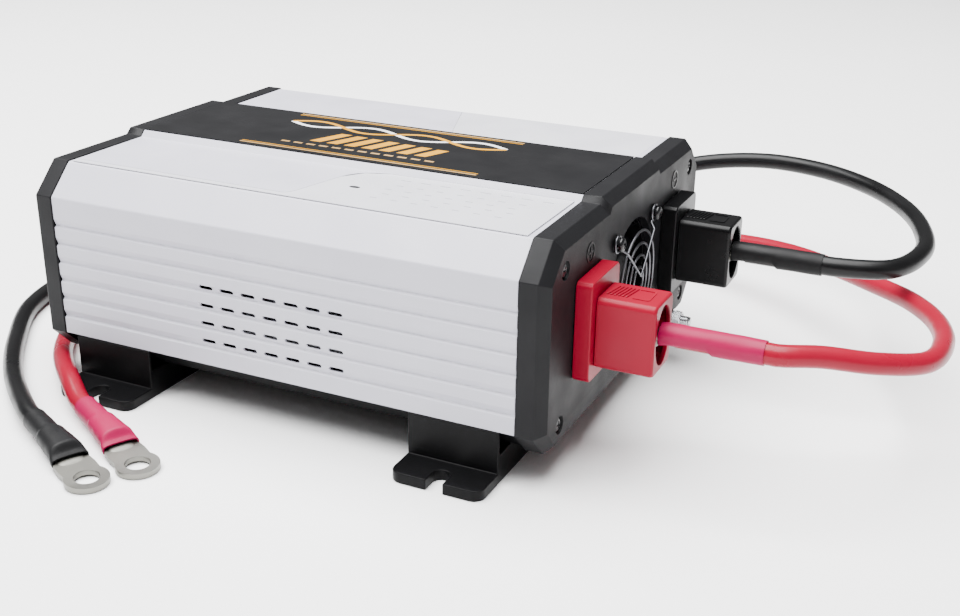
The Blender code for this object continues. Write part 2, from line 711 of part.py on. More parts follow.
def make_terminal(colour, side, panel):
    """The flange, the pull-off boot, the bus bar and its bolt at one battery terminal."""
    y = side * TERMINAL_Y
    slot = colour + "_plastic"
    start = BEZEL_FACE + GAP
    end = start + FLANGE_DEPTH
    outline = rounded((y, FLANGE_Z), *FLANGE_SIZE, 3 * MM)
    bar_top = CABLE_Z - LUG_BARREL - GAP
    bar_low = bar_top - BAR_SIZE[1]
    window_low = (y - BAR_SIZE[0] / 2 - 0.6 * MM, bar_low - 0.6 * MM)
    window_high = (y + BAR_SIZE[0] / 2 + 0.6 * MM, bar_top + 0.6 * MM)
    flange = prism("terminal_flange_" + colour, slot, [outline], "X", start, end)
    edge = flange.modifiers.new("rounded edges", "BEVEL")
    edge.width = MM
    edge.segments = 2
    edge.limit_method = "ANGLE"
    edge.angle_limit = math.radians(60)
    window = box("cut_window_" + colour, None,
                 (BEZEL_FACE - 9 * MM, *window_low), (end + MM, *window_high))
    cut(flange, window)
    cut(panel, window)
    bar = box("terminal_bar_" + colour, "tinned_copper",
              (BOLT_X - 37 * MM, y - BAR_SIZE[0] / 2, bar_low),
              (BOLT_X + 7.5 * MM, y + BAR_SIZE[0] / 2, bar_top))
    cut(bar, rod("cut_bar_" + colour, None, (BOLT_X, y, bar_low - MM),
                 (BOLT_X, y, bar_top + MM), TERMINAL_HOLE, 20))
    make_bolt(colour, y, bar_low - GAP, bar_top + LUG_PALM + 2 * GAP)
    make_boot(colour, y, slot, end + GAP)
    lug = lug_at("terminal_lug_" + colour, TERMINAL_HOLE)
    turned = Matrix.Translation((BOLT_X, y, CABLE_Z - LUG_BARREL))
    lug.matrix_local = turned


def make_bolt(colour, y, head_top, nut_low):
    """A hexagon bolt up through the bar and the lug, with its nut."""
    bolt = rod("terminal_bolt_" + colour, "steel", (BOLT_X, y, head_top - 5 * MM),
               (BOLT_X, y, head_top), 7.4 * MM, 6)
    fuse(bolt, rod("join_bolt_" + colour, None, (BOLT_X, y, head_top - MM),
                   (BOLT_X, y, nut_low + 9 * MM), 3.9 * MM, 20))
    nut = rod("terminal_nut_" + colour, "steel", (BOLT_X, y, nut_low),
              (BOLT_X, y, nut_low + 6.5 * MM), 7.4 * MM, 6)
    cut(nut, rod("cut_nut_" + colour, None, (BOLT_X, y, nut_low - MM),
                 (BOLT_X, y, nut_low + 8 * MM), 4.2 * MM, 20))


def make_boot(colour, y, slot, back):
    """The hood over the bolt: open at the back, with an oval mouth for the cable."""
    outline = rounded((y, BOOT_Z), *BOOT_SIZE, 2.5 * MM)
    boot = prism("terminal_boot_" + colour, slot, [outline], "X", back, BOOT_END)
    hollow = rounded((y, BOOT_Z), BOOT_SIZE[0] - 2 * BOOT_WALL, BOOT_SIZE[1] - 2 * BOOT_WALL, MM)
    mouth = oval((y, BOOT_Z), *BOOT_MOUTH, 24)
    ribs = []
    top = BOOT_Z + BOOT_SIZE[1] / 2
    for number in range(RIB_COUNT):
        x = back + RIB_START + number * RIB_PITCH
        ribs.append(box(f"rib_{number}", None, (x, y - RIB_HALF_LENGTH, top - RIB_RISE),
                        (x + RIB_PITCH / 2, y + RIB_HALF_LENGTH, top + RIB_RISE)))
    fuse(boot, gather("join_ribs_" + colour, ribs))
    cut(boot,
        prism("cut_hollow_" + colour, None, [hollow], "X", back - MM, BOOT_END - BOOT_WALL),
        prism("cut_mouth_" + colour, None, [mouth], "X", BOOT_END - 4 * MM, BOOT_END + MM))


def make_ground_stud(panel):
    """A threaded earth stud with the nut that holds it and a clamping nut."""
    place = (GROUND_Y, GROUND_Z)
    cut(panel, rod("cut_ground", None, (BEZEL_FACE - 9 * MM, *place),
                   (BEZEL_FACE + MM, *place), 2.9 * MM, 16))
    rod("ground_stud", "steel", (BEZEL_FACE - 8 * MM, *place),
        (BEZEL_FACE + 17 * MM, *place), 2.4 * MM, 16, bevel=0.4 * MM)
    stack = (
        ("ground_jam_nut", 0, 3.8, 4.6, 6),
        ("ground_nut", 8, 12.2, 4.6, 6),
    )
    for name, low, high, radius, sides in stack:
        start = BEZEL_FACE + GAP + low * MM
        end = BEZEL_FACE + GAP + high * MM
        piece = rod(name, "steel", (start, *place), (end, *place), radius * MM, sides)
        cut(piece, rod("cut_" + name, None, (start - MM, *place), (end + MM, *place),
                       2.7 * MM, 16))


# ---------------------------------------------------------------- lugs and cables

def lug_at(name, hole):
    """A ring lug along +X: its palm lies on its local z = 0 and its hole is at the origin."""
    neck = LUG_BARREL
    meet = math.degrees(math.asin(neck / LUG_RING))
    outline = arc((0, 0), LUG_RING, meet, 360 - meet, 18)
    outline += [(BARREL_START + 4 * MM, -neck), (BARREL_START + 4 * MM, neck)]
    lug = prism(name, "tinned_copper", [outline, oval((0, 0), hole, hole, 16)], "Z", 0, LUG_PALM)
    lug.matrix_local = Matrix()
    lug.data.transform(Matrix.Translation((0, 0, LUG_PALM / 2)))
    barrel = rod("join_" + name, None, (BARREL_START, 0, LUG_BARREL),
                 (BARREL_END, 0, LUG_BARREL), LUG_BARREL, 14)
    barrel.parent = lug
    barrel.matrix_parent_inverse = Matrix()
    fuse(lug, barrel)
    return lug


def sleeve(name, slot, start, end):
    """A heat-shrink sleeve, a tube between two points."""
    start, end = Vector(start), Vector(end)
    outer = oval((0, 0), SLEEVE_OUTER, SLEEVE_OUTER, 16)
    inner = oval((0, 0), SLEEVE_INNER, SLEEVE_INNER, 16)
    mesh = to_mesh(name, flat_curve(name, [outer, inner], (end - start).length / 2))
    turn = (end - start).to_track_quat("Z", "Y").to_matrix()
    smooth(adopt(name, mesh, slot, (start + end) / 2, turn))


def smooth_route(points, count):
    """Even points on a centripetal Catmull-Rom curve through the route's points."""
    points = [Vector(p) for p in points]
    points = [2 * points[0] - points[1]] + points + [2 * points[-1] - points[-2]]
    fine = []
    for index in range(1, len(points) - 2):
        p0, p1, p2, p3 = points[index - 1:index + 3]
        t0 = 0.0
        t1 = t0 + math.sqrt((p1 - p0).length)
        t2 = t1 + math.sqrt((p2 - p1).length)
        t3 = t2 + math.sqrt((p3 - p2).length)
        steps = 24
        for step in range(steps):
            t = t1 + (t2 - t1) * step / steps
            a1 = p0.lerp(p1, (t - t0) / (t1 - t0))
            a2 = p1.lerp(p2, (t - t1) / (t2 - t1))
            a3 = p2.lerp(p3, (t - t2) / (t3 - t2))
            b1 = a1.lerp(a2, (t - t0) / (t2 - t0))
            b2 = a2.lerp(a3, (t - t1) / (t3 - t1))
            fine.append(b1.lerp(b2, (t - t1) / (t2 - t1)))
    fine.append(points[-2])
    lengths = [0.0]
    for before, after in zip(fine, fine[1:]):
        lengths.append(lengths[-1] + (after - before).length)
    even = []
    index = 0
    for number in range(count):
        wanted = lengths[-1] * number / (count - 1)
        while index < len(fine) - 2 and lengths[index + 1] < wanted:
            index += 1
        share = (wanted - lengths[index]) / (lengths[index + 1] - lengths[index])
        even.append(fine[index].lerp(fine[index + 1], share))
    return even


def make_cable(colour, side, route, lug_place, lug_turn):
    """One battery cable from its terminal lug to its free lug, with both sleeves."""
    y = side * TERMINAL_Y
    start = Vector((BOLT_X + BARREL_END + GAP, y, CABLE_Z))
    sleeve("terminal_sleeve_" + colour, colour + "_sleeve",
           start - Vector((TERMINAL_LAP, 0, 0)), start + Vector((STRAIGHT_START[-2] * MM, 0, 0)))
    lug = lug_at("battery_lug_" + colour, STUD_HOLE)
    lying = (Matrix.Translation((*lug_place, FREE_LUG_LIFT)) @ Matrix.Rotation(lug_turn, 4, "Z")
             @ Matrix.Rotation(-FREE_LUG_PITCH, 4, "Y"))
    lug.matrix_local = lying

    def beyond(distance):
        """The point on the free end's straight line at a distance from the lug's hole."""
        return lying @ Vector((distance, 0, LUG_BARREL))

    sleeve("battery_sleeve_" + colour, colour + "_sleeve",
           beyond(FREE_SLEEVE[0]), beyond(FREE_SLEEVE[1]))
    points = [start + Vector((reach * MM, 0, 0)) for reach in STRAIGHT_START]
    points += [Vector(p) * MM for p in route]
    points += [beyond(reach * MM) for reach in STRAIGHT_END]
    points.append(beyond(BARREL_END + GAP))
    curve = bpy.data.curves.new("cable_" + colour, "CURVE")
    curve.dimensions = "3D"
    curve.bevel_depth = CABLE_RADIUS
    curve.bevel_resolution = 2
    curve.use_fill_caps = True
    spline = curve.splines.new("POLY")
    spline.points.add(CABLE_POINTS - 1)
    for point, co in zip(spline.points, smooth_route(points, CABLE_POINTS)):
        point.co = (*co, 1)
    adopt("cable_" + colour, curve, colour + "_cable")


# ---------------------------------------------------------------- mains end

def make_outlet(name, y, panel):
    """A grounded mains outlet, snapped into the panel, with its blade slots."""
    place = (y, OUTLET_Z)
    face = -AC_FACE + 1.2 * MM
    outline = rounded(place, 34 * MM, 30 * MM, 6 * MM, 4)
    body = prism(name, "black_plastic", [outline], "X", -face, AC_FACE + PANEL + 12 * MM)
    brim = rounded(place, 37 * MM, 33 * MM, 7 * MM, 4)
    fuse(body, prism("join_" + name, None, [brim], "X", -face, AC_FACE - GAP))
    reach = (-face - MM, -face + 11 * MM)
    slots = []
    for number, (dy, height) in enumerate(((-6.35 * MM, 7.9 * MM), (6.35 * MM, 6.4 * MM))):
        slot = rounded((y + dy, OUTLET_Z + 3.5 * MM), 2.2 * MM, height, 0.2 * MM, 1)
        slots.append(prism(f"blade_slot_{number}", None, [slot], "X", *reach))
    earth = arc((y, OUTLET_Z - 8 * MM), 2.4 * MM, 0, -180, 8)
    earth += [(y - 2.4 * MM, OUTLET_Z - 6 * MM), (y + 2.4 * MM, OUTLET_Z - 6 * MM)]
    slots.append(prism("earth_slot", None, [earth], "X", *reach))
    cut(body, gather("cut_" + name, slots))
    clearance = rounded(place, 34.8 * MM, 30.8 * MM, 6.4 * MM, 4)
    cut(panel, prism("cut_panel_" + name, None, [clearance], "X", AC_FACE - MM, AC_FACE + 9 * MM))


def make_switch(panel):
    """A rocker switch: a bezel in the panel and a rocker on a pivot across it."""
    place = (SWITCH_Y, SWITCH_Z)
    face = AC_FACE - 1.6 * MM
    outline = rounded(place, 19 * MM, 13 * MM, 0.6 * MM, 1)
    body = prism("switch_housing", "black_plastic", [outline], "X",
                 AC_FACE - GAP - MM, AC_FACE + 17 * MM)
    brim = rounded(place, 22 * MM, 15.5 * MM, 1.2 * MM, 2)
    fuse(body, prism("join_switch", None, [brim], "X", face, AC_FACE - GAP))
    well = rounded(place, 16.4 * MM, 10 * MM, 0.4 * MM, 1)
    cut(body, prism("cut_switch", None, [well], "X", face - MM, AC_FACE + 9 * MM))
    clearance = rounded(place, 19.8 * MM, 13.8 * MM, 0.8 * MM, 1)
    cut(panel, prism("cut_panel_switch", None, [clearance], "X",
                     AC_FACE - MM, AC_FACE + 9 * MM))
    make_rocker(face)


def make_rocker(face):
    """The rocker, its origin on the pivot, pressed down on its off side at rest."""
    half_length = 7.4 * MM
    depth = 4.6 * MM
    crown = 2.4 * MM
    points = [(half_length, depth * 0.4), (half_length, -crown * 0.75), (0, -crown * 0.2)]
    points += [(-half_length, -crown * 0.75), (-half_length, depth * 0.4), (0, depth)]
    rocker = prism("power_switch", "black_plastic", [[(u, v) for u, v in points]], "Z",
                   -4.6 * MM, 4.6 * MM)
    # Local u runs along Y and local v along X, so the pivot is the Z axis
    swap = Matrix(((0, 1, 0), (1, 0, 0), (0, 0, -1)))
    tilt = Matrix.Rotation(-SWITCH_HALF_TURN, 3, "Z")
    rocker.matrix_local = (Matrix.Translation((face + 1.2 * MM, SWITCH_Y, SWITCH_Z))
                           @ (tilt @ swap).to_4x4())


def make_sockets(panel):
    """The charging port, the remote-control jack and the two lamps."""
    ports = (
        ("usb_port", USB_Y, USB_Z, 17 * MM, 9.4 * MM, 12.6 * MM, 5.2 * MM),
        ("remote_jack", REMOTE_Y, REMOTE_Z, 14 * MM, 12 * MM, 9.8 * MM, 7 * MM),
    )
    for name, y, z, width, height, mouth_width, mouth_height in ports:
        outer = rounded((y, z), width, height, MM, 2)
        port = prism(name, "black_plastic", [outer], "X", AC_FACE - 0.8 * MM, AC_FACE + 15 * MM)
        mouth = rounded((y, z), mouth_width, mouth_height, 0.4 * MM, 1)
        cut(port, prism("cut_" + name, None, [mouth], "X", AC_FACE - 2 * MM, AC_FACE + 12 * MM))
        way = rounded((y, z), width + 0.7 * MM, height + 0.7 * MM, 1.3 * MM, 2)
        cut(panel, prism("cut_panel_" + name, None, [way], "X", AC_FACE - MM, AC_FACE + 9 * MM))
    for name, slot, z in zip(("fault_lamp", "power_lamp"), ("red_lamp", "green_lamp"), LAMP_Z):
        rod(name, slot, (AC_FACE + 6 * MM, LAMP_Y, z), (AC_FACE - LAMP_PROUD, LAMP_Y, z),
            LAMP_RADIUS, 14, bevel=0.6 * MM)
        cut(panel, rod("cut_" + name, None, (AC_FACE - MM, LAMP_Y, z),
                       (AC_FACE + PANEL_CUT, LAMP_Y, z), LAMP_RADIUS + 0.4 * MM, 14))


# ---------------------------------------------------------------- inside the housing

def make_heat_sink(name, side):
    """A finned bar along one side wall."""
    low_y, high_y = sorted((side * SINK_INNER_Y, side * SINK_OUTER_Y))
    sink = box(name, "aluminium", (-INSIDE_X, low_y, BOARD_Z), (INSIDE_X, high_y, SINK_TOP))
    near, far = sorted((side * (SINK_INNER_Y + SINK_WEB), side * (SINK_OUTER_Y + MM)))
    gaps = []
    for number in range(SINK_GAPS):
        z = BOARD_Z + SINK_PITCH * (number + 0.9)
        gaps.append(box(f"gap_{number}", None,
                        (-INSIDE_X - MM, near, z - SINK_GAP / 2),
                        (INSIDE_X + MM, far, z + SINK_GAP / 2)))
    cut(sink, gather("cut_" + name, gaps))


def make_transformer(name, x):
    """A ferrite block with a round winding that stands out of its top."""
    base = BOARD_TOP + GAP
    half = CORE_SIZE / 2
    core = box(name, "ferrite", (x - half, -half, base), (x + half, half, base + CORE_HEIGHT))
    fuse(core, rod("join_" + name, None, (x, 0, base + MM), (x, 0, base + COIL_HEIGHT),
                   COIL_RADIUS, 24))


def make_inside():
    """The main parts under the cover, which the vents let air reach."""
    box("main_board", "circuit_board",
        (-INSIDE_X, -BOARD_HALF_WIDTH, BOARD_Z), (INSIDE_X, BOARD_HALF_WIDTH, BOARD_TOP))
    make_heat_sink("heat_sink_front", -1)
    make_heat_sink("heat_sink_rear", 1)
    make_transformer("transformer_dc_end", TRANSFORMER_X[0])
    make_transformer("transformer_middle", TRANSFORMER_X[1])
    foot = (*CAPACITOR_PLACE, BOARD_TOP + GAP)
    top = (*CAPACITOR_PLACE, BOARD_TOP + GAP + CAPACITOR_HEIGHT)
    rod("bus_capacitor", "capacitor_sleeve", foot, top, CAPACITOR_RADIUS, 24, bevel=1.2 * MM)


# ---------------------------------------------------------------- assembly

make_housing()
dc_panel = bezel("dc_end_bezel", 1)
ac_panel = bezel("ac_end_bezel", -1)
make_foot("foot_dc_end", 1)
make_foot("foot_ac_end", -1)
make_fan(dc_panel)
make_terminal("red", -1, dc_panel)
make_terminal("black", 1, dc_panel)
make_ground_stud(dc_panel)
make_cable("red", -1, RED_ROUTE, RED_LUG, RED_LUG_TURN)
make_cable("black", 1, BLACK_ROUTE, BLACK_LUG, BLACK_LUG_TURN)
make_outlet("outlet_front", OUTLET_Y[0], ac_panel)
make_outlet("outlet_rear", OUTLET_Y[1], ac_panel)
make_switch(ac_panel)
make_sockets(ac_panel)
make_inside()
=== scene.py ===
"""The looks of a power inverter with its two battery cables, built round its CAD frame."""
import json
import math
import bmesh
import bpy
from mathutils import Matrix, Vector, noise


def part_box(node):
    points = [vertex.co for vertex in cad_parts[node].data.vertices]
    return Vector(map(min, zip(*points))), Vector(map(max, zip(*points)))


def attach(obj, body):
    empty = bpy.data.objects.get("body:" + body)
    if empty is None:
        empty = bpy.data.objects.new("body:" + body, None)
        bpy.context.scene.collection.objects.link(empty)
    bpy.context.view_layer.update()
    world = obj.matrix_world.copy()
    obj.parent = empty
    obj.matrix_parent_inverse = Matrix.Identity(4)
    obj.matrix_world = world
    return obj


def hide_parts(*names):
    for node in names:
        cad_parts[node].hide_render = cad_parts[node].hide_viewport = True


MM = 0.001
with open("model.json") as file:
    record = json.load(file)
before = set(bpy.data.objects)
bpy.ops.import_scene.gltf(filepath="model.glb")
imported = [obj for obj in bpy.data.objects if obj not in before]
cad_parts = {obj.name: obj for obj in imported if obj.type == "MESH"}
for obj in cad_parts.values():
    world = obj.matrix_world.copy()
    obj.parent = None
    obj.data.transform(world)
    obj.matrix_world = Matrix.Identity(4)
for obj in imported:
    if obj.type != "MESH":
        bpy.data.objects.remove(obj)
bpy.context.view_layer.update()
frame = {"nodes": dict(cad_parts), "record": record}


def corners(node):
    """The low and high corners of a CAD node's box, in metres."""
    low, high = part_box(node)
    return Vector(low), Vector(high)


SLOTS = {part["node"]: part["material_slot"] for part in frame["record"]["subparts"]}
COVER_LOW, COVER_HIGH = corners("top_cover")
UNIT_X = (COVER_LOW.x + COVER_HIGH.x) / 2


def at(x, y, z):
    """A place in the housing's own frame, in millimetres."""
    return Vector((UNIT_X + x * MM, y * MM, z * MM))


# ---------------------------------------------------------------- camera

def make_camera():
    """The photograph's view, solved from the housing's straight edges."""
    across = math.radians(24.957)
    down = math.radians(22.237)
    lean = math.radians(0.886)
    ahead = Vector((-math.sin(across) * math.cos(down), math.cos(across) * math.cos(down),
                    -math.sin(down)))
    right = Vector((math.cos(across), math.sin(across), 0))
    up = right.cross(ahead)
    turned_right = right * math.cos(lean) + up * math.sin(lean)
    turned_up = up * math.cos(lean) - right * math.sin(lean)
    data = bpy.data.cameras.new("camera")
    data.sensor_width = 36
    data.lens = 47.35
    data.clip_start = 0.02
    data.clip_end = 30
    ob = bpy.data.objects.new("camera", data)
    turn = Matrix((turned_right, turned_up, -ahead)).transposed().to_4x4()
    ob.matrix_world = Matrix.Translation(at(290.998, -512.158, 262.195)) @ turn
    bpy.context.scene.collection.objects.link(ob)
    bpy.context.scene.camera = ob


make_camera()


# ---------------------------------------------------------------- materials

def linear(*colour):
    """Screen colours from 0 to 255 as the shader's linear ones."""
    made = []
    for value in colour:
        share = value / 255
        made.append(share / 12.92 if share <= 0.04045 else ((share + 0.055) / 1.055) ** 2.4)
    return (*made, 1)


class Tree:
    """A short way to write a material's nodes."""

    def __init__(self, name):
        self.material = bpy.data.materials.new(name)
        self.material.use_nodes = True
        self.nodes = self.material.node_tree.nodes
        self.links = self.material.node_tree.links
        self.shader = self.nodes["Principled BSDF"]
        self.place = self.nodes.new("ShaderNodeTexCoord").outputs["Object"]

    def put(self, socket, value):
        if isinstance(value, bpy.types.NodeSocket):
            self.links.new(value, socket)
        else:
            socket.default_value = value

    def set(self, **values):
        for name, value in values.items():
            self.put(self.shader.inputs[name.replace("_", " ")], value)

    def noise(self, scale, detail=3.0, stretch=None):
        place = self.place
        if stretch:
            mapping = self.nodes.new("ShaderNodeMapping")
            self.put(mapping.inputs["Vector"], place)
            mapping.inputs["Scale"].default_value = stretch
            place = mapping.outputs["Vector"]
        node = self.nodes.new("ShaderNodeTexNoise")
        self.put(node.inputs["Vector"], place)
        node.inputs["Scale"].default_value = scale
        node.inputs["Detail"].default_value = detail
        node.inputs["Roughness"].default_value = 0.55
        return node.outputs["Fac"]

    def span(self, value, low, high, to_low=0.0, to_high=1.0):
        node = self.nodes.new("ShaderNodeMapRange")
        self.put(node.inputs["Value"], value)
        for name, number in zip(("From Min", "From Max", "To Min", "To Max"),
                                (low, high, to_low, to_high)):
            node.inputs[name].default_value = number
        return node.outputs["Result"]

    def math(self, kind, first, second):
        node = self.nodes.new("ShaderNodeMath")
        node.operation = kind
        self.put(node.inputs[0], first)
        self.put(node.inputs[1], second)
        return node.outputs[0]

    def mix(self, share, first, second):
        node = self.nodes.new("ShaderNodeMix")
        node.data_type = "RGBA"
        self.put(node.inputs["Factor"], share)
        self.put(node.inputs["A"], first)
        self.put(node.inputs["B"], second)
        return node.outputs["Result"]

    def bump(self, height, distance):
        node = self.nodes.new("ShaderNodeBump")
        node.inputs["Strength"].default_value = 1.0
        node.inputs["Distance"].default_value = distance
        self.put(node.inputs["Height"], height)
        return node.outputs["Normal"]

    def edges(self, radius):
        """1 on the sharp edges and 0 on the flats."""
        soft = self.nodes.new("ShaderNodeBevel")
        soft.samples = 4
        soft.inputs["Radius"].default_value = radius
        surface = self.nodes.new("ShaderNodeNewGeometry")
        dot = self.nodes.new("ShaderNodeVectorMath")
        dot.operation = "DOT_PRODUCT"
        self.put(dot.inputs[0], soft.outputs["Normal"])
        self.put(dot.inputs[1], surface.outputs["Normal"])
        return self.span(dot.outputs["Value"], 0.98, 0.78)


CLOUD = 14.0
GLOSS_SPREAD = 0.08
# Width and patch scale of the lighter edge colour, which is partly scuffs and partly painted
# highlight.
EDGE_MARK_WIDTH = 0.45 * MM
EDGE_MARK_PATCHES = 420


def coat(name, colour, second, rough, grain, depth, metallic=0.0, worn=None, wear=0.35,
         stretch=None, **sockets):
    """A finish with clouded colour, a fine grain, uneven gloss, and edges lightened in patches:
    scuffs on the dark parts, painted highlight on the white coat and the red plastic.

    Colours are screen colours, the grain is a noise scale and the depth is in millimetres.
    """
    tree = Tree(name)
    broad = tree.noise(CLOUD, 4.0)
    tint = tree.mix(tree.span(broad, 0.3, 0.7), linear(*colour), linear(*second))
    fine = tree.noise(grain, stretch=stretch)
    gloss = tree.span(tree.noise(CLOUD * 3.3, 5.0), 0.3, 0.7,
                      rough - GLOSS_SPREAD, rough + GLOSS_SPREAD)
    # Lighter edge colour in noisy patches: wear on the dark finishes, painted highlight on the
    # white coat and the red plastic.
    if worn:
        edge = tree.math("MULTIPLY", tree.edges(EDGE_MARK_WIDTH),
                         tree.span(tree.noise(EDGE_MARK_PATCHES, 4.0), 0.35, 0.65))
        edge = tree.math("MULTIPLY", edge, wear)
        tint = tree.mix(edge, tint, linear(*worn))
    tree.set(Base_Color=tint, Roughness=gloss, Metallic=metallic,
             Normal=tree.bump(fine, depth * MM), **sockets)
    return tree.material


FINISHES = {
    # The whiter edge colour of the white coat is a painted highlight along its edges.
    "white_powder_coat": dict(
        colour=(188, 187, 197), second=(182, 181, 192), rough=0.42, grain=1500, depth=0.035,
        worn=(242, 242, 246), wear=0.5),
    "black_steel": dict(
        colour=(12, 12, 13), second=(9, 9, 10), rough=0.4, grain=1300, depth=0.05,
        worn=(26, 26, 28), Specular_IOR_Level=0.08),
    "black_plastic": dict(
        colour=(20, 20, 22), second=(16, 16, 18), rough=0.5, grain=3400, depth=0.045,
        worn=(50, 50, 54), wear=0.4, Specular_IOR_Level=0.14),
    "gloss_black": dict(
        colour=(11, 11, 12), second=(8, 8, 9), rough=0.3, grain=2400, depth=0.02,
        worn=(40, 40, 44), wear=0.4, Specular_IOR_Level=0.14),
    "label_film": dict(
        colour=(17, 17, 19), second=(14, 14, 16), rough=0.42, grain=900, depth=0.012,
        worn=(60, 60, 64), Specular_IOR_Level=0.2),
    "gold_print": dict(
        colour=(204, 146, 4), second=(190, 130, 3), rough=0.38, grain=1600, depth=0.01),
    "pale_gold_print": dict(
        colour=(178, 144, 92), second=(164, 128, 74), rough=0.38, grain=1600, depth=0.01),
    "white_print": dict(
        colour=(236, 236, 236), second=(226, 226, 228), rough=0.4, grain=1600, depth=0.01),
    "grey_print": dict(
        colour=(140, 140, 147), second=(150, 150, 156), rough=0.42, grain=1600, depth=0.01),
    "dark_print": dict(
        colour=(20, 20, 23), second=(28, 28, 31), rough=0.42, grain=1600, depth=0.01),
    "clear_label": dict(
        colour=(201, 201, 207), second=(196, 196, 203), rough=0.3, grain=700, depth=0.012),
    # The lighter red on the red plastic's edges is a painted highlight on its rounded edges.
    "red_plastic": dict(
        colour=(138, 2, 36), second=(128, 2, 32), rough=0.36, grain=2600, depth=0.02,
        worn=(214, 60, 76), wear=0.4, Specular_IOR_Level=0.14),
    "tinned_copper": dict(
        colour=(122, 121, 115), second=(108, 107, 101), rough=0.42, grain=500, depth=0.02,
        metallic=1.0, stretch=(1, 6, 6)),
    "dark_wire": dict(
        colour=(104, 104, 108), second=(88, 88, 92), rough=0.34, grain=700, depth=0.01,
        metallic=1.0),
    "steel": dict(
        colour=(205, 206, 208), second=(178, 180, 184), rough=0.24, grain=700, depth=0.015,
        metallic=1.0),
    "black_steel_screw": dict(
        colour=(16, 16, 18), second=(12, 12, 14), rough=0.28, grain=1500, depth=0.02,
        worn=(70, 70, 76), wear=0.6, Specular_IOR_Level=0.4),
    "red_sleeve": dict(
        colour=(146, 1, 63), second=(136, 1, 57), rough=0.44, grain=900, depth=0.05,
        Specular_IOR_Level=0.16),
    "black_sleeve": dict(
        colour=(15, 15, 16), second=(12, 12, 13), rough=0.5, grain=900, depth=0.05,
        Specular_IOR_Level=0.16),
    "red_cable": dict(
        colour=(138, 2, 36), second=(128, 2, 32), rough=0.32, grain=700, depth=0.04,
        Specular_IOR_Level=0.2),
    "black_cable": dict(
        colour=(11, 11, 12), second=(8, 8, 9), rough=0.34, grain=700, depth=0.04,
        Specular_IOR_Level=0.2),
    "green_lamp": dict(
        colour=(40, 150, 60), second=(32, 132, 50), rough=0.14, grain=900, depth=0.004),
    "red_lamp": dict(
        colour=(190, 30, 30), second=(172, 24, 24), rough=0.14, grain=900, depth=0.004),
    "circuit_board": dict(
        colour=(28, 92, 54), second=(22, 76, 44), rough=0.4, grain=500, depth=0.05),
    "aluminium": dict(
        colour=(186, 188, 192), second=(168, 170, 174), rough=0.38, grain=900, depth=0.02,
        metallic=1.0, stretch=(1, 12, 12)),
    "ferrite": dict(
        colour=(58, 56, 54), second=(44, 42, 40), rough=0.6, grain=1800, depth=0.08),
    "capacitor_sleeve": dict(
        colour=(34, 42, 66), second=(28, 34, 54), rough=0.3, grain=900, depth=0.01),
}
LOOKS = {name: coat(name, **finish) for name, finish in FINISHES.items()}


# ---------------------------------------------------------------- pieces

def place(ob, look, body, slot, stands_for):
    """Links a piece, gives it its look and puts it on its body."""
    bpy.context.scene.collection.objects.link(ob)
    ob.data.materials.clear()
    ob.data.materials.append(LOOKS[look])
    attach(ob, body)
    if stands_for:
        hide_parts(*stands_for)
    return ob


def piece(name, bm, look, body="housing", slot=None, stands_for=(), angle=38):
    """A mesh piece from a bmesh, with smooth shading up to an angle."""
    bmesh.ops.recalc_face_normals(bm, faces=bm.faces)
    mesh = bpy.data.meshes.new(name)
    bm.to_mesh(mesh)
    bm.free()
    mesh.shade_smooth()
    mesh.set_sharp_from_angle(angle=math.radians(angle))
    ob = place(bpy.data.objects.new(name, mesh), look, body, slot or look, stands_for)
    weights = ob.modifiers.new("weights", "WEIGHTED_NORMAL")
    weights.weight = 100
    weights.keep_sharp = True
    return ob


def fresh(bm, name="tool"):
    """A loose object from a bmesh, for a Boolean."""
    bmesh.ops.recalc_face_normals(bm, faces=bm.faces)
    mesh = bpy.data.meshes.new(name)
    bm.to_mesh(mesh)
    bm.free()
    ob = bpy.data.objects.new(name, mesh)
    bpy.context.scene.collection.objects.link(ob)
    return ob


def carve(bm, *tools):
    """The first form with the others cut out of it, as a bmesh."""
    target = fresh(bm, "target")
    cutters = [fresh(tool) for tool in tools]
    for cutter in cutters:
        step = target.modifiers.new("cut", "BOOLEAN")
        step.operation = "DIFFERENCE"
        step.solver = "EXACT"
        step.object = cutter
    graph = bpy.context.evaluated_depsgraph_get()
    mesh = bpy.data.meshes.new_from_object(target.evaluated_get(graph))
    made = bmesh.new()
    made.from_mesh(mesh)
    bpy.data.meshes.remove(mesh)
    for ob in [target] + cutters:
        bpy.data.objects.remove(ob, do_unlink=True)
    return made


def skin(bm, rings, closed=False):
    """Faces between successive rings of points, with caps unless the rings close on themselves."""
    made = [[bm.verts.new(p) for p in ring] for ring in rings]
    pairs = list(zip(made, made[1:])) + ([(made[-1], made[0])] if closed else [])
    for first, second in pairs:
        count = len(first)
        for index in range(count):
            after = (index + 1) % count
            bm.faces.new((first[index], first[after], second[after], second[index]))
    if not closed:
        bm.faces.new(made[0][::-1])
        bm.faces.new(made[-1])


def axes(direction):
    """Two directions square to a third, and the third itself."""
    third = Vector(direction).normalized()
    side = Vector((0, 0, 1)) if abs(third.z) < 0.9 else Vector((0, 1, 0))
    first = side.cross(third).normalized()
    return first, third.cross(first), third


AXIS_RADIUS = 1e-5


def lathe(bm, origin, direction, profile, sides):
    """A turned form: the profile gives distance along the axis and radius, in millimetres."""
    first, second, third = axes(direction)
    rings = []
    for along, radius in profile:
        ring = []
        for index in range(sides):
            angle = math.tau * index / sides
            out = first * math.cos(angle) + second * math.sin(angle)
            ring.append(origin + third * (along * MM) + out * max(radius * MM, AXIS_RADIUS))
        rings.append(ring)
    skin(bm, rings)


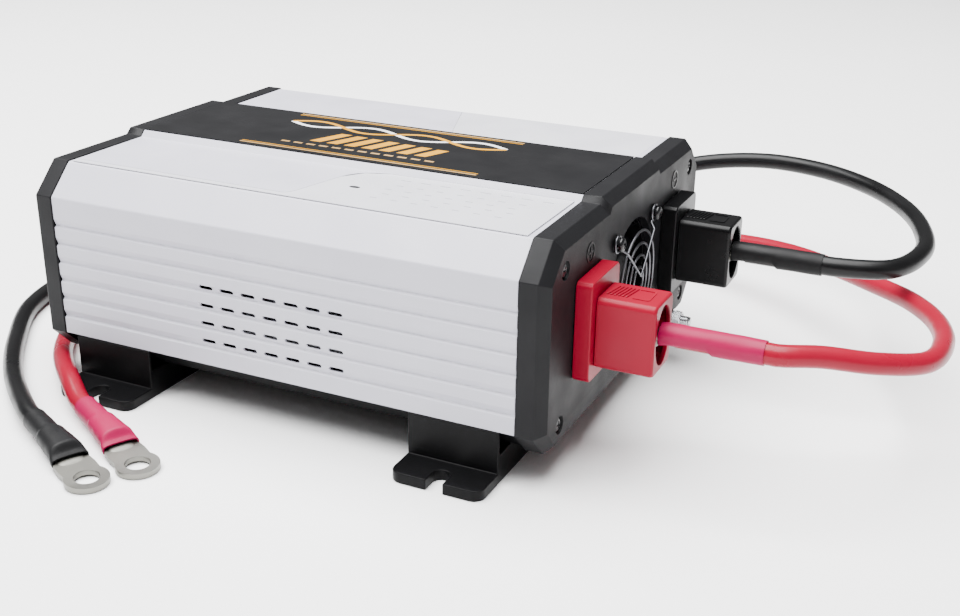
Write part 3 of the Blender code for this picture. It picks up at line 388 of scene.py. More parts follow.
def block(bm, low, high):
    """A box between two corners."""
    low, high = Vector(low), Vector(high)
    matrix = Matrix.Translation((low + high) / 2) @ Matrix.Diagonal((*(high - low), 1))
    bmesh.ops.create_cube(bm, size=1, matrix=matrix)


def arc(cu, cv, radius, start, end, steps):
    """Points on an arc, from one angle to another in degrees."""
    points = []
    for step in range(steps + 1):
        angle = math.radians(start + (end - start) * step / steps)
        points.append((cu + radius * math.cos(angle), cv + radius * math.sin(angle)))
    return points


def round_box(cu, cv, width, height, radius, steps):
    """A rectangle's outline with round corners."""
    points = []
    for quarter, (su, sv) in enumerate(((1, 1), (-1, 1), (-1, -1), (1, -1))):
        points += arc(cu + su * (width / 2 - radius), cv + sv * (height / 2 - radius), radius,
                      90 * quarter, 90 * quarter + 90, steps)
    return points


def filleted(points, radii, steps):
    """An open line with each inner corner rounded to its own radius."""
    made = [points[0]]
    for index in range(1, len(points) - 1):
        here = Vector(points[index])
        before = Vector(points[index - 1]) - here
        after = Vector(points[index + 1]) - here
        radius = radii[index]
        if radius <= 0:
            made.append(tuple(here))
            continue
        half = before.angle(after) / 2
        reach = min(radius / math.tan(half), 0.48 * before.length, 0.48 * after.length)
        start = here + before.normalized() * reach
        end = here + after.normalized() * reach
        for step in range(steps + 1):
            share = step / steps
            made.append(tuple(start.lerp(here, share).lerp(here.lerp(end, share), share)))
    made.append(points[-1])
    return made


def section_x(points, x):
    """Points given as y and z in housing millimetres, at one x."""
    return [at(x, u, v) for u, v in points]


SHARP = 25


def refine(node, look, width, segments=2, shortest=0.0, body="housing"):
    """The CAD form with its sharp edges rounded, apart from those that are too short."""
    bm = bmesh.new()
    bm.from_mesh(frame["nodes"][node].data)
    bmesh.ops.remove_doubles(bm, verts=bm.verts, dist=0.002 * MM)
    bmesh.ops.dissolve_limit(bm, angle_limit=math.radians(1), verts=bm.verts, edges=bm.edges)
    sharp = []
    for edge in bm.edges:
        if edge.is_manifold and edge.calc_length() > shortest * MM:
            if edge.calc_face_angle() > math.radians(SHARP):
                sharp.append(edge)
    bmesh.ops.bevel(bm, geom=sharp, offset=width * MM, offset_type="OFFSET", segments=segments,
                    profile=0.5, affect="EDGES", clamp_overlap=True)
    piece(node + "_shape", bm, look, body, SLOTS[node], (node,))


# ---------------------------------------------------------------- cables

CABLE_RADIUS = 4.6
BOLT_X = 145.2
CABLE_START = 166.3
TERMINAL_Y = 56
CABLE_Z = 60.5
BARREL_Z = 4.1
LUG_LIFT = 0.7
LUG_PITCH = math.radians(2.5)
FREE_LUGS = {
    "black": (Vector((-41, -174, LUG_LIFT)), math.radians(154.5)),
    "red": (Vector((-30.2, -155.7, LUG_LIFT)), math.radians(153.4)),
}
ROUTES = {
    "black": [
        (231.5, 65.7, 60.3), (241.8, 96.6, 60.5), (236.9, 130.3, 61.2), (223.1, 163.2, 61.7),
        (200.4, 191.9, 62.2), (169.4, 213.1, 62.2), (132.9, 224.7, 60), (94.6, 225.6, 53.1),
        (57.8, 218.5, 40), (21.4, 208.4, 26.3), (-16.5, 197.9, 15.2), (-54.9, 184.7, 7.8),
        (-92.1, 166.5, 5.1), (-126.6, 142.7, 4.8), (-156.7, 113, 4.8), (-180.4, 77.6, 4.8),
        (-195.1, 37.3, 4.8), (-199, -5.7, 4.8), (-189, -47.9, 4.8), (-164.6, -84.1, 4.8),
        (-135, -116.9, 5.4),
    ],
    "red": [
        (222, -47.6, 59.6), (241.9, -35.9, 56.1), (258.8, -16.3, 52.1), (262.5, 12.4, 49.5),
        (256.6, 42.8, 46.9), (242.1, 71.9, 43.9), (220.6, 98.1, 40.2), (195.7, 123.1, 36.9),
        (167.6, 146.1, 33.2), (135.1, 164, 28), (98.9, 175.3, 21.5), (60.5, 180.3, 14.8),
        (20.7, 179.4, 9.1), (-19.6, 173.1, 5.8), (-59.7, 161.7, 4.8), (-98.1, 143.8, 4.8),
        (-132.7, 118.1, 4.8), (-159, 83.4, 4.8), (-171.7, 41.2, 4.8), (-170.5, -3.6, 4.8),
        (-156.6, -46.8, 4.8), (-134.2, -83.4, 7), (-117.2, -102.2, 9.2), (-97.2, -119.3, 10.2),
    ],
}


def along_curve(points, spacing):
    """Even points on a centripetal Catmull-Rom curve through the route's points."""
    points = [Vector(p) for p in points]
    points = [2 * points[0] - points[1]] + points + [2 * points[-1] - points[-2]]
    fine = []
    for index in range(1, len(points) - 2):
        p0, p1, p2, p3 = points[index - 1:index + 3]
        t0 = 0.0
        t1 = t0 + math.sqrt((p1 - p0).length)
        t2 = t1 + math.sqrt((p2 - p1).length)
        t3 = t2 + math.sqrt((p3 - p2).length)
        for step in range(24):
            t = t1 + (t2 - t1) * step / 24
            a1 = p0.lerp(p1, (t - t0) / (t1 - t0))
            a2 = p1.lerp(p2, (t - t1) / (t2 - t1))
            a3 = p2.lerp(p3, (t - t2) / (t3 - t2))
            b1 = a1.lerp(a2, (t - t0) / (t2 - t0))
            b2 = a2.lerp(a3, (t - t1) / (t3 - t1))
            fine.append(b1.lerp(b2, (t - t1) / (t2 - t1)))
    fine.append(points[-2])
    lengths = [0.0]
    for before, after in zip(fine, fine[1:]):
        lengths.append(lengths[-1] + (after - before).length)
    count = round(lengths[-1] / spacing)
    even = []
    index = 0
    for number in range(count + 1):
        wanted = lengths[-1] * number / count
        while index < len(fine) - 2 and lengths[index + 1] < wanted:
            index += 1
        share = (wanted - lengths[index]) / (lengths[index + 1] - lengths[index])
        even.append(fine[index].lerp(fine[index + 1], share))
    return even, lengths[-1]


def lying(colour):
    """The free lug's own frame: its hole at the origin and its barrel along X."""
    hole, turn = FREE_LUGS[colour]
    return (Matrix.Translation(at(*hole)) @ Matrix.Rotation(turn, 4, "Z")
            @ Matrix.Rotation(-LUG_PITCH, 4, "Y"))


def beyond(colour, distance):
    """A place on the free lug's barrel axis, past its hole."""
    return lying(colour) @ (Vector((distance, 0, BARREL_Z)) * MM)


RING_SIDES = 28


def oval_ring(matrix, x, half_y, half_z, lift, flat):
    """A ring square to the lug's X axis; a higher flat makes it squarer."""
    ring = []
    for index in range(RING_SIDES):
        angle = math.tau * index / RING_SIDES
        c, s = math.cos(angle), math.sin(angle)
        y = half_y * math.copysign(abs(c) ** (2 / flat), c)
        z = half_z * math.copysign(abs(s) ** (2 / flat), s)
        ring.append(matrix @ (Vector((x, y, BARREL_Z + lift + z)) * MM))
    return ring


def spread_sections(stations, count):
    """Smoothly blended sections from a few given ones: position, half sizes, lift and shape."""
    first, last = stations[0][0], stations[-1][0]
    made = []
    for number in range(count + 1):
        x = first + (last - first) * number / count
        index = 0
        while index < len(stations) - 2 and stations[index + 1][0] < x:
            index += 1
        low, high = stations[index], stations[index + 1]
        share = (x - low[0]) / (high[0] - low[0])
        share = share * share * (3 - 2 * share)
        made.append([x] + [a + (b - a) * share for a, b in zip(low[1:], high[1:])])
    return made


SLEEVE_WALL = 0.6


def sleeve(name, matrix, stations, look, node, seed):
    """A shrunk sleeve with two open ends, drawn over the lug's barrel and the cable's end."""
    bm = bmesh.new()
    outer = []
    inner = []
    for x, half_y, half_z, lift, flat in spread_sections(stations, 60):
        ring = oval_ring(matrix, x, half_y, half_z, lift, flat)
        middle = matrix @ (Vector((x, 0, BARREL_Z + lift)) * MM)
        rough = []
        for point in ring:
            swell = noise.noise(point * 160 + Vector((seed, 0, 0))) * 0.16 * MM
            rough.append(point + (point - middle).normalized() * min(swell, 0.05 * MM))
        outer.append(rough)
        inner.append(oval_ring(matrix, x, half_y - SLEEVE_WALL, half_z - SLEEVE_WALL, lift, flat))
    skin(bm, outer + inner[::-1], closed=True)
    return piece(name, bm, look, stands_for=(node,), angle=50)


def lug(name, matrix, hole, node, neck, stations):
    """A tinned tube lug: a flat ring, a neck and a barrel."""
    outline = arc(0, 0, 9.25, 58, 302, 44)
    outline += [(u, -v) for u, v in neck] + neck[::-1]
    bm = bmesh.new()
    skin(bm, [[matrix @ (Vector((u, v, z)) * MM) for u, v in outline] for z in (0, 2.4)])
    edge = [e for e in bm.edges if e.is_manifold and e.calc_face_angle() > 1]
    bmesh.ops.bevel(bm, geom=edge, offset=0.35 * MM, offset_type="OFFSET", segments=2,
                    profile=0.5, affect="EDGES")
    tool = bmesh.new()
    bore = ((-1, hole + 0.9), (-0.1, hole + 0.3), (0.25, hole), (2.15, hole), (2.5, hole + 0.3),
            (3.4, hole + 0.9))
    rings = []
    for z, radius in bore:
        ring = [Vector((u, v, z)) for u, v in arc(0, 0, radius, 0, 352.5, 47)]
        rings.append([matrix @ (p * MM) for p in ring])
    skin(tool, rings)
    bm = carve(bm, tool)
    skin(bm, [oval_ring(matrix, *section) for section in spread_sections(stations, 12)])
    return piece(name, bm, "tinned_copper", stands_for=(node,), angle=40)


def make_cable(colour):
    """A cable with its two lugs and two sleeves; each station is x, half sizes, lift and shape."""
    side = 1 if colour == "black" else -1
    y = side * TERMINAL_Y
    exit_place = at(CABLE_START, y, CABLE_Z)
    terminal = Matrix.Translation(at(BOLT_X, y, CABLE_Z - BARREL_Z))
    neck = [(8.6, 7.6), (11.4, 6.2), (14.2, 4.2)]
    stations = ((10, 6.2, 1.19, -2.9, 3.4), (12.5, 5.0, 2.4, -1.6, 2.6),
                (14.3, 4.15, 4.0, -0.05, 2), (20.8, 4.1, 4.1, 0, 2))
    lug("lug_in_hood_" + colour, terminal, 4.3, "terminal_lug_" + colour, neck, stations)
    free = lying(colour)
    neck = [(10.5, 8.1), (15.9, 7.7), (16.4, 6.2), (20.4, 4.4)]
    stations = ((12, 6.2, 1.19, -2.9, 3.4), (17.6, 6.0, 1.6, -2.5, 3), (20.6, 4.4, 3.9, -0.3, 2.2),
                (20.8, 4.1, 4.1, 0, 2))
    free_lug = lug("ring_lug_" + colour, free, 5.15, "battery_lug_" + colour, neck, stations)
    stations = ((14.6, 5.3, 4.7, 0.1, 2.1), (18, 5.25, 4.6, 0.5, 2.1),
                (34.2, 5.2, 4.45, 0.75, 2.1), (36.6, 5.35, 5.3, 0, 2), (50, 5.3, 5.25, 0, 2),
                (57.1, 5.2, 5.2, 0, 2))
    hood_sleeve = sleeve("hood_sleeve_" + colour, terminal, stations, colour + "_sleeve",
                         "terminal_sleeve_" + colour, 3 + side)
    stations = ((16.2, 8.2, 2.4, -1.7, 3.4), (17.4, 8.1, 2.9, -1.4, 3), (20.8, 7.4, 5.2, 0, 2.4),
                (27, 7.0, 5.2, 0, 2.3), (36, 6.4, 5.2, 0, 2.2), (38.5, 5.6, 5.2, 0, 2),
                (48, 5.4, 5.2, 0, 2), (54, 5.2, 5.2, 0, 2))
    free_sleeve = sleeve("lug_sleeve_" + colour, free, stations, colour + "_sleeve",
                         "battery_sleeve_" + colour, 7 + side)
    points = [exit_place + Vector((reach * MM, 0, 0)) for reach in (0, 12, 24, 36, 41)]
    points += [at(*p) for p in ROUTES[colour]]
    points += [beyond(colour, reach) for reach in (61, 54.5, 40, 21.1)]
    even, length = along_curve(points, 4 * MM)
    curve = bpy.data.curves.new("jacket_" + colour, "CURVE")
    curve.dimensions = "3D"
    curve.bevel_depth = CABLE_RADIUS * MM
    curve.bevel_resolution = 6
    curve.use_fill_caps = True
    spline = curve.splines.new("POLY")
    spline.points.add(len(even) - 1)
    for point, co in zip(spline.points, even):
        point.co = (*co, 1)
    spline.use_smooth = True
    cable = place(bpy.data.objects.new("jacket_" + colour, curve), colour + "_cable", "housing",
                  colour + "_cable", ("cable_" + colour,))


make_cable("black")
make_cable("red")


# ---------------------------------------------------------------- housing

SIDE = 100.0
TOP = 103.5
STRIP_TOP = TOP + 2.7
SHEET = 1.2
LAP_LINES = (32.3, 41.15, 50.0, 58.85, 67.7, 76.55)
VENT_X = [(column - 3) * 10.9 for column in range(7)]
VENT_Z = [35.6 + row * 8.45 for row in range(4)]


def cover_line(inside):
    """The cover's right half in section: lapped side, chamfer, top and the raised strip seat."""
    if inside:
        lean = SHEET * math.tan(math.radians(22.5))
        points = [(SIDE - SHEET, 24), (SIDE - SHEET, 90 - lean), (86.5 - lean, TOP - SHEET)]
        points += [(35.8 + lean, TOP - SHEET), (33.1 + lean, STRIP_TOP - SHEET),
                   (0, STRIP_TOP - SHEET)]
        return filleted(points, [0, 0.5, 0.5, 1.2, 0.3, 0], 3)
    points = [(SIDE, 24)]
    radii = [0]
    for z in LAP_LINES:
        points += [(SIDE, z - 0.7), (SIDE - 1.2, z + 0.1), (SIDE - 0.7, z + 1.2), (SIDE, z + 3.2)]
        radii += [0.3, 0.12, 0.5, 0.5]
    points += [(SIDE, 90), (86.5, TOP), (35.8, TOP), (33.1, STRIP_TOP), (0, STRIP_TOP)]
    radii += [1.9, 1.9, 0.5, 0.9, 0]
    return filleted(points, radii, 4)


def make_cover():
    """The lapped sheet with its vent slots cut through both sides."""
    outer = cover_line(False)
    inner = cover_line(True)
    outline = outer + [(-u, v) for u, v in outer[-2::-1]]
    outline += [(-u, v) for u, v in inner] + inner[-2::-1]
    low, high = (COVER_LOW.x - UNIT_X) / MM, (COVER_HIGH.x - UNIT_X) / MM
    bm = bmesh.new()
    skin(bm, [section_x(outline, x) for x in (low, high)])
    tools = []
    for side in (-1, 1):
        tool = bmesh.new()
        for x in VENT_X:
            for z in VENT_Z:
                ring = round_box(x, z, 7.2, 1.9, 0.9, 5)
                skin(tool, [[at(u, y, v) for u, v in ring] for y in (side * 97, side * 103)])
        tools.append(tool)
    bm = carve(bm, *tools)
    piece("cover_shell", bm, "white_powder_coat", stands_for=("top_cover",), angle=24)


def flat_shape(bm, outlines, low, high):
    """Flat plates on the top face, each given by its corners in housing millimetres."""
    for outline in outlines:
        skin(bm, [[at(x, y, z) for x, y in outline] for z in (low, high)])


def bar(x0, x1, y0, y1):
    """A rectangle's four corners."""
    return [(x0, y0), (x1, y0), (x1, y1), (x0, y1)]


def ribbon(points, width):
    """A flat stroke of even width along a line, as one outline."""
    left = []
    right = []
    for index, point in enumerate(points):
        here = Vector(point)
        before = Vector(points[max(index - 1, 0)])
        after = Vector(points[min(index + 1, len(points) - 1)])
        way = (after - before).normalized()
        across = Vector((-way.y, way.x)) * width / 2
        left.append(tuple(here + across))
        right.append(tuple(here - across))
    return left + right[::-1]


def strokes(bm, lines, width, low, high):
    """Flat strokes built from short quads, so that a bent one stays clean."""
    for line in lines:
        outline = ribbon(line, width)
        half = len(line)
        for index in range(half - 1):
            quad = [outline[index], outline[index + 1], outline[-index - 2], outline[-index - 1]]
            flat_shape(bm, [quad], low, high)


def make_strip():
    """The dark film on the raised strip, with a plain wave, slanted bars, lines and dashes."""
    low, high = corners("label_strip")
    face = high.z / MM
    reach = 114.95 * MM
    bm = bmesh.new()
    block(bm, (UNIT_X - reach, low.y, low.z), (UNIT_X + reach, high.y, high.z))
    bmesh.ops.bevel(bm, geom=list(bm.edges), offset=0.1 * MM, offset_type="OFFSET", segments=2,
                    profile=0.5, affect="EDGES")
    piece("strip_film", bm, "label_film", stands_for=("label_strip",))
    prints = {"pale_gold_print": bmesh.new(), "gold_print": bmesh.new(), "white_print": bmesh.new()}
    under = face - 0.1
    top = face + 0.04
    for kind, y, half in (("pale_gold_print", 29.6, 0.55), ("gold_print", 27.6, 0.3)):
        for middle, x0, x1 in ((-y, -61, 63.5), (y, -63.7, 61)):
            flat_shape(prints[kind], [bar(x0, x1, middle - half, middle + half)], under, top)
    slanted = []
    for number in range(7):
        x = -32 + number * 9.4
        tall = 18 - 0.7 * number
        slanted.append([(x, -14), (x + 5.8, -14), (x + 5.8 + tall * 0.4, -14 + tall),
                        (x + tall * 0.4, -14 + tall)])
    flat_shape(prints["gold_print"], slanted, under, top)
    for lead, kind, crest in ((0, "gold_print", top), (math.pi, "white_print", top - 0.01)):
        wave = []
        for step in range(61):
            x = -60 + 118 * step / 60
            wave.append((x, 15 + 5.2 * math.sin(math.tau * (x + 60) / 59 + lead)))
        strokes(prints[kind], [wave], 2.4, under, crest)
    small = [bar(-44 + 7 * n, -39.4 + 7 * n, -20.6, -18.9) for n in range(12)]
    flat_shape(prints["pale_gold_print"], small, under, top)
    for kind, bm in prints.items():
        piece("strip_" + kind, bm, kind, slot="label_film")


def make_labels():
    """The rear label, the front label's faint generic marks, and the cut edges of both."""
    edge = [(-113, -82.6), (-2.5, -82.8), (-1.2, -82.4), (0.2, -81), (1.5, -78.5), (7.5, -51.6),
            (9.2, -47), (11.5, -43.6), (14.5, -41.2), (19, -38.8), (25, -37.4), (54, -36.5),
            (112.5, -36.4)]
    bm = bmesh.new()
    strokes(bm, [filleted(edge, [0] + [2] * 11 + [0], 2)], 0.28, TOP + 0.25, TOP + 0.64)
    rear_edge = [(0.4, 85.8), (13.4, 48.7), (16, 43), (20, 39.2), (26, 37.2), (112.5, 36.6)]
    strokes(bm, [rear_edge], 0.28, TOP + 0.02, TOP + 0.1)
    piece("label_edges", bm, "grey_print", slot="clear_label")
    rear = [(13.6, 48.4), (16.2, 43.2), (20.2, 39.4), (26, 37.4), (112.5, 36.8), (112.5, 86),
            (0.6, 86)]
    bm = bmesh.new()
    skin(bm, [[at(x, y, z) for x, y in rear] for z in (TOP - 0.1, TOP + 0.06)])
    piece("rear_label", bm, "clear_label")
    bm = bmesh.new()
    skin(bm, [[at(21.2 + u, -62 + v, z) for u, v in arc(0, 0, 1, 0, 345, 23)]
              for z in (TOP + 0.3, TOP + 0.66)])
    bmesh.ops.scale(bm, vec=(2.6, 1.3, 1), space=Matrix.Translation(-at(21.2, -62, 0)),
                    verts=bm.verts)
    piece("label_dot", bm, "dark_print", slot="clear_label")
    bm = bmesh.new()
    rows = []
    heights = ((-44, 5.0), (-52, 3.2), (-58.5, 3.2), (-65, 3.2), (-71.5, 3.2))
    for row, (y, dash) in enumerate(heights):
        for column in range(8 if row == 0 else 7):
            x = 34 + column * 9.6 + 2.3 * (row % 2)
            rows.append(bar(x, x + dash, y, y + 0.5))
    flat_shape(bm, rows, TOP + 0.3, TOP + 0.63)
    piece("label_marks", bm, "grey_print", slot="clear_label")


make_cover()
make_strip()
make_labels()
refine("base_tray", "black_steel", 0.5)
for end in ("dc", "ac"):
    refine(end + "_end_bezel", "black_plastic", 0.35, shortest=6.0)
    refine("foot_" + end + "_end", "black_steel", 0.6, shortest=1.2)


# ---------------------------------------------------------------- screws, nuts and studs

HEAD_HEIGHT = 2.02


def pan_head(length):
    """A pan-head screw along +X with its seat at the origin and a tapered cross recess."""
    bm = bmesh.new()
    head = [(-0.05, 0), (0, 3.25), (0.35, 3.3), (0.9, 3.22), (1.4, 2.9), (1.75, 2.3), (1.95, 1.4),
            (HEAD_HEIGHT, 0)]
    lathe(bm, Vector(), (1, 0, 0), head, 36)
    tools = []
    for flat_arm in (True, False):
        tool = bmesh.new()
        rings = []
        for x, share in ((0.75, 0.35), (2.6, 1.25)):
            reach = 1.95 * share
            half_y, half_z = (reach, 0.42) if flat_arm else (0.42, reach)
            rings.append([Vector((x, sy * half_y, sz * half_z)) * MM
                          for sy, sz in ((1, 1), (-1, 1), (-1, -1), (1, -1))])
        skin(tool, rings)
        tools.append(tool)
    bm = carve(bm, *tools)
    shank = []
    for step in range(int(length / 0.4)):
        shank += [(-0.4 * step - 0.05, 1.75), (-0.4 * step - 0.25, 1.45)]
    lathe(bm, Vector(), (1, 0, 0), [(0.3, 0)] + shank[:60], 16)
    return bm


def make_screws():
    """The same screw at every screw node, each turned to its own angle."""
    bm = pan_head(9)
    bmesh.ops.recalc_face_normals(bm, faces=bm.faces)
    mesh = bpy.data.meshes.new("pan_head_screw")
    bm.to_mesh(mesh)
    bm.free()
    mesh.shade_smooth()
    mesh.set_sharp_from_angle(angle=math.radians(32))
    for node in sorted(frame["nodes"]):
        if SLOTS.get(node) != "black_steel_screw":
            continue
        low, high = corners(node)
        outward = -1 if node.startswith("ac") else 1
        head = high.x if outward > 0 else low.x
        ob = place(bpy.data.objects.new(node + "_shape", mesh.copy()), "black_steel_screw",
                   "housing", "black_steel_screw", (node,))
        turn = Matrix.Rotation(0 if outward > 0 else math.pi, 4, "Z")
        twist = Matrix.Rotation(math.radians(17 + 53 * len(node) % 90), 4, "X")
        seat = Vector((head - outward * HEAD_HEIGHT * MM, (low.y + high.y) / 2,
                       (low.z + high.z) / 2))
        ob.data.transform(Matrix.Translation(seat) @ turn @ twist)


def hex_nut(bm, origin, direction, flats, height, hole, turn=0.0):
    """A chamfered hexagon nut with a threaded hole."""
    first, second, third = axes(direction)
    body = bmesh.new()
    corner = flats / math.sqrt(3)
    rings = []
    for along in (0, height):
        ring = []
        for index in range(6):
            angle = math.tau * index / 6 + turn
            ring.append(origin + third * along * MM
                        + (first * math.cos(angle) + second * math.sin(angle)) * corner * MM)
        rings.append(ring)
    skin(body, rings)
    cone = bmesh.new()
    outer = [(-1, 40), (-1.001, corner - 1.4), (0, corner - 0.75), (0.62, corner + 0.02),
             (height - 0.62, corner + 0.02), (height, corner - 0.75), (height + 1, corner - 1.4),
             (height + 1.001, 40)]
    rings = []
    for along, radius in outer:
        rings.append([origin + third * along * MM + (first * math.cos(math.tau * k / 48)
                      + second * math.sin(math.tau * k / 48)) * radius * MM for k in range(48)])
    skin(cone, rings, closed=True)
    bore = bmesh.new()
    profile = [(-0.5, hole + 1.0), (0.5, hole)]
    steps = int((height - 1) / 0.8)
    for step in range(steps):
        profile += [(0.5 + 0.8 * step + 0.4, hole + 0.25), (0.5 + 0.8 * step + 0.8, hole)]
    profile += [(height - 0.5, hole), (height + 0.5, hole + 1.0)]
    lathe(bore, origin, direction, profile, 32)
    made = carve(body, cone, bore)
    mesh = bpy.data.meshes.new("nut")
    made.to_mesh(mesh)
    made.free()
    bm.from_mesh(mesh)
    bpy.data.meshes.remove(mesh)


PITCH = 0.8


def threaded(bm, origin, direction, start, end, radius):
    """A stud with thread ridges and a chamfered tip."""
    profile = [(start, 0), (start, radius - 0.25)]
    count = int((end - start - 0.8) / PITCH)
    for step in range(count):
        along = start + step * PITCH
        profile += [(along + PITCH * 0.25, radius), (along + PITCH * 0.45, radius),
                    (along + PITCH * 0.8, radius - 0.32)]
    profile += [(end - 0.5, radius - 0.25), (end, radius - 0.8), (end, 0)]
    lathe(bm, origin, direction, profile, 28)


def make_ground_stud():
    """The ground stud with its two nuts, and a washer under the outer one."""
    low, high = corners("ground_stud")
    middle = Vector((0, (low.y + high.y) / 2, (low.z + high.z) / 2))
    bm = bmesh.new()
    threaded(bm, middle, (1, 0, 0), low.x / MM, high.x / MM, 2.4)
    piece("ground_stud_shape", bm, "steel", stands_for=("ground_stud",), angle=30)
    for node, turn in (("ground_jam_nut", 0.2), ("ground_nut", 0.75)):
        low, high = corners(node)
        bm = bmesh.new()
        hex_nut(bm, Vector((low.x, middle.y, middle.z)), (1, 0, 0), 8, (high.x - low.x) / MM,
                2.65, turn)
        piece(node + "_shape", bm, "steel", stands_for=(node,), angle=28)
    bm = bmesh.new()
    washer = ((0.05, 2.75), (0.05, 4.9), (0.15, 5.0), (0.85, 5.0), (0.95, 4.9), (0.95, 2.75))
    lathe(bm, Vector((low.x, middle.y, middle.z)), (-1, 0, 0), washer, 40)
    piece("ground_washer", bm, "steel")


make_screws()
make_ground_stud()


# ---------------------------------------------------------------- fan

FAN_Z = 59
FAN_SCREW = 25
BEZEL_FACE = 127.75


def wire_paths(name, paths, radius, look, node):
    """One curve object made of round wires; each path says whether it closes."""
    curve = bpy.data.curves.new(name, "CURVE")
    curve.dimensions = "3D"
    curve.bevel_depth = radius * MM
    curve.bevel_resolution = 4
    curve.use_fill_caps = True
    for points, closed in paths:
        spline = curve.splines.new("POLY")
        spline.points.add(len(points) - 1)
        for point, co in zip(spline.points, points):
            point.co = (*co, 1)
        spline.use_cyclic_u = closed
        spline.use_smooth = True
    return place(bpy.data.objects.new(name, curve), look, "housing", SLOTS[node], (node,))


def make_guard():
    """Kinked legs over four rings, with an eye round each corner screw."""
    wire = 0.6
    eye = BEZEL_FACE + 1.1
    bulge = 4.4
    leg = [(0, eye), (2, eye), (5.4, BEZEL_FACE + 0.8 * bulge), (24, BEZEL_FACE + 0.97 * bulge),
           (31.4, BEZEL_FACE + bulge)]
    leg = filleted(leg, [0, 1.6, 1.6, 6, 0], 6)
    paths = []
    for side in (1, -1):
        half = []
        for run, x in leg:
            share = run / 31.9
            half.append((x, 22.55 * (1 - share), side * (22.55 - 20.15 * share)))
        line = [at(x, u, FAN_Z + v) for x, u, v in half]
        line += [at(x, -u, FAN_Z + v) for x, u, v in half[::-1]]
        paths.append((line, False))
    for radius in (6.5, 12, 17.5, 23.3):
        x = BEZEL_FACE + (1 - 0.2 * radius / 26.5) * bulge - 1.7 * wire
        paths.append(([at(x, u, FAN_Z + v) for u, v in arc(0, 0, radius, 0, 354, 59)], True))
    for y in (-FAN_SCREW, FAN_SCREW):
        for z in (-FAN_SCREW, FAN_SCREW):
            ring = [at(eye + 0.1, y + u, FAN_Z + z + v) for u, v in arc(0, 0, 3.7, 0, 345, 23)]
            paths.append((ring, True))
    wire_paths("fan_guard_wires", paths, wire, "dark_wire", "fan_guard")


def make_rotor():
    """A hub with seven cambered blades, kept within the CAD rotor's depth."""
    low, high = corners("fan_rotor")
    back, front = (low.x - UNIT_X) / MM, (high.x - UNIT_X) / MM
    depth = front - back
    hub = 12.5
    bm = bmesh.new()
    profile = [(0, 0), (0, hub - 0.4), (0.4, hub), (depth - 1.6, hub), (depth - 0.8, hub - 0.35),
               (depth - 0.15, hub - 1.3), (depth, hub - 2.4), (depth, 8.2), (depth - 0.25, 8.0),
               (depth - 0.25, 0)]
    lathe(bm, at(back, 0, FAN_Z), (1, 0, 0), profile, 48)
    middle = (back + front) / 2
    for blade in range(7):
        rings = []
        for step in range(9):
            share = step / 8
            radius = 11.8 + 15.2 * share
            pitch = math.radians(52 - 18 * share)
            chord = (10.2 + 4.6 * share) * (1 if step < 8 else 0.92)
            ring = []
            for side, order in ((1, range(9)), (-1, range(8, -1, -1))):
                for k in order:
                    s = k / 8 - 0.5
                    camber = 0.10 * chord * (1 - 4 * s * s)
                    thick = side * 0.55 * math.sqrt(max(0.04, 1 - 4 * s * s))
                    along = s * chord * math.cos(pitch) + (camber + thick) * math.sin(pitch)
                    turn = s * chord * math.sin(pitch) - (camber + thick) * math.cos(pitch)
                    angle = math.tau * blade / 7 + turn / radius + 0.26 * share
                    along = max(-depth / 2 + 0.3, min(depth / 2 - 0.3, along))
                    ring.append(at(middle + along, radius * math.sin(angle),
                                   FAN_Z + radius * math.cos(angle)))
            rings.append(ring)
        skin(bm, rings)
    piece("fan_blades", bm, "black_plastic", body="fan", stands_for=("fan_rotor",), angle=40)


make_guard()
make_rotor()
refine("fan_frame", "gloss_black", 0.5, shortest=2.5)


# ---------------------------------------------------------------- battery terminals

BOOT_Z = 60
HOOD_LOOKS = {"red": "red_plastic", "black": "gloss_black"}


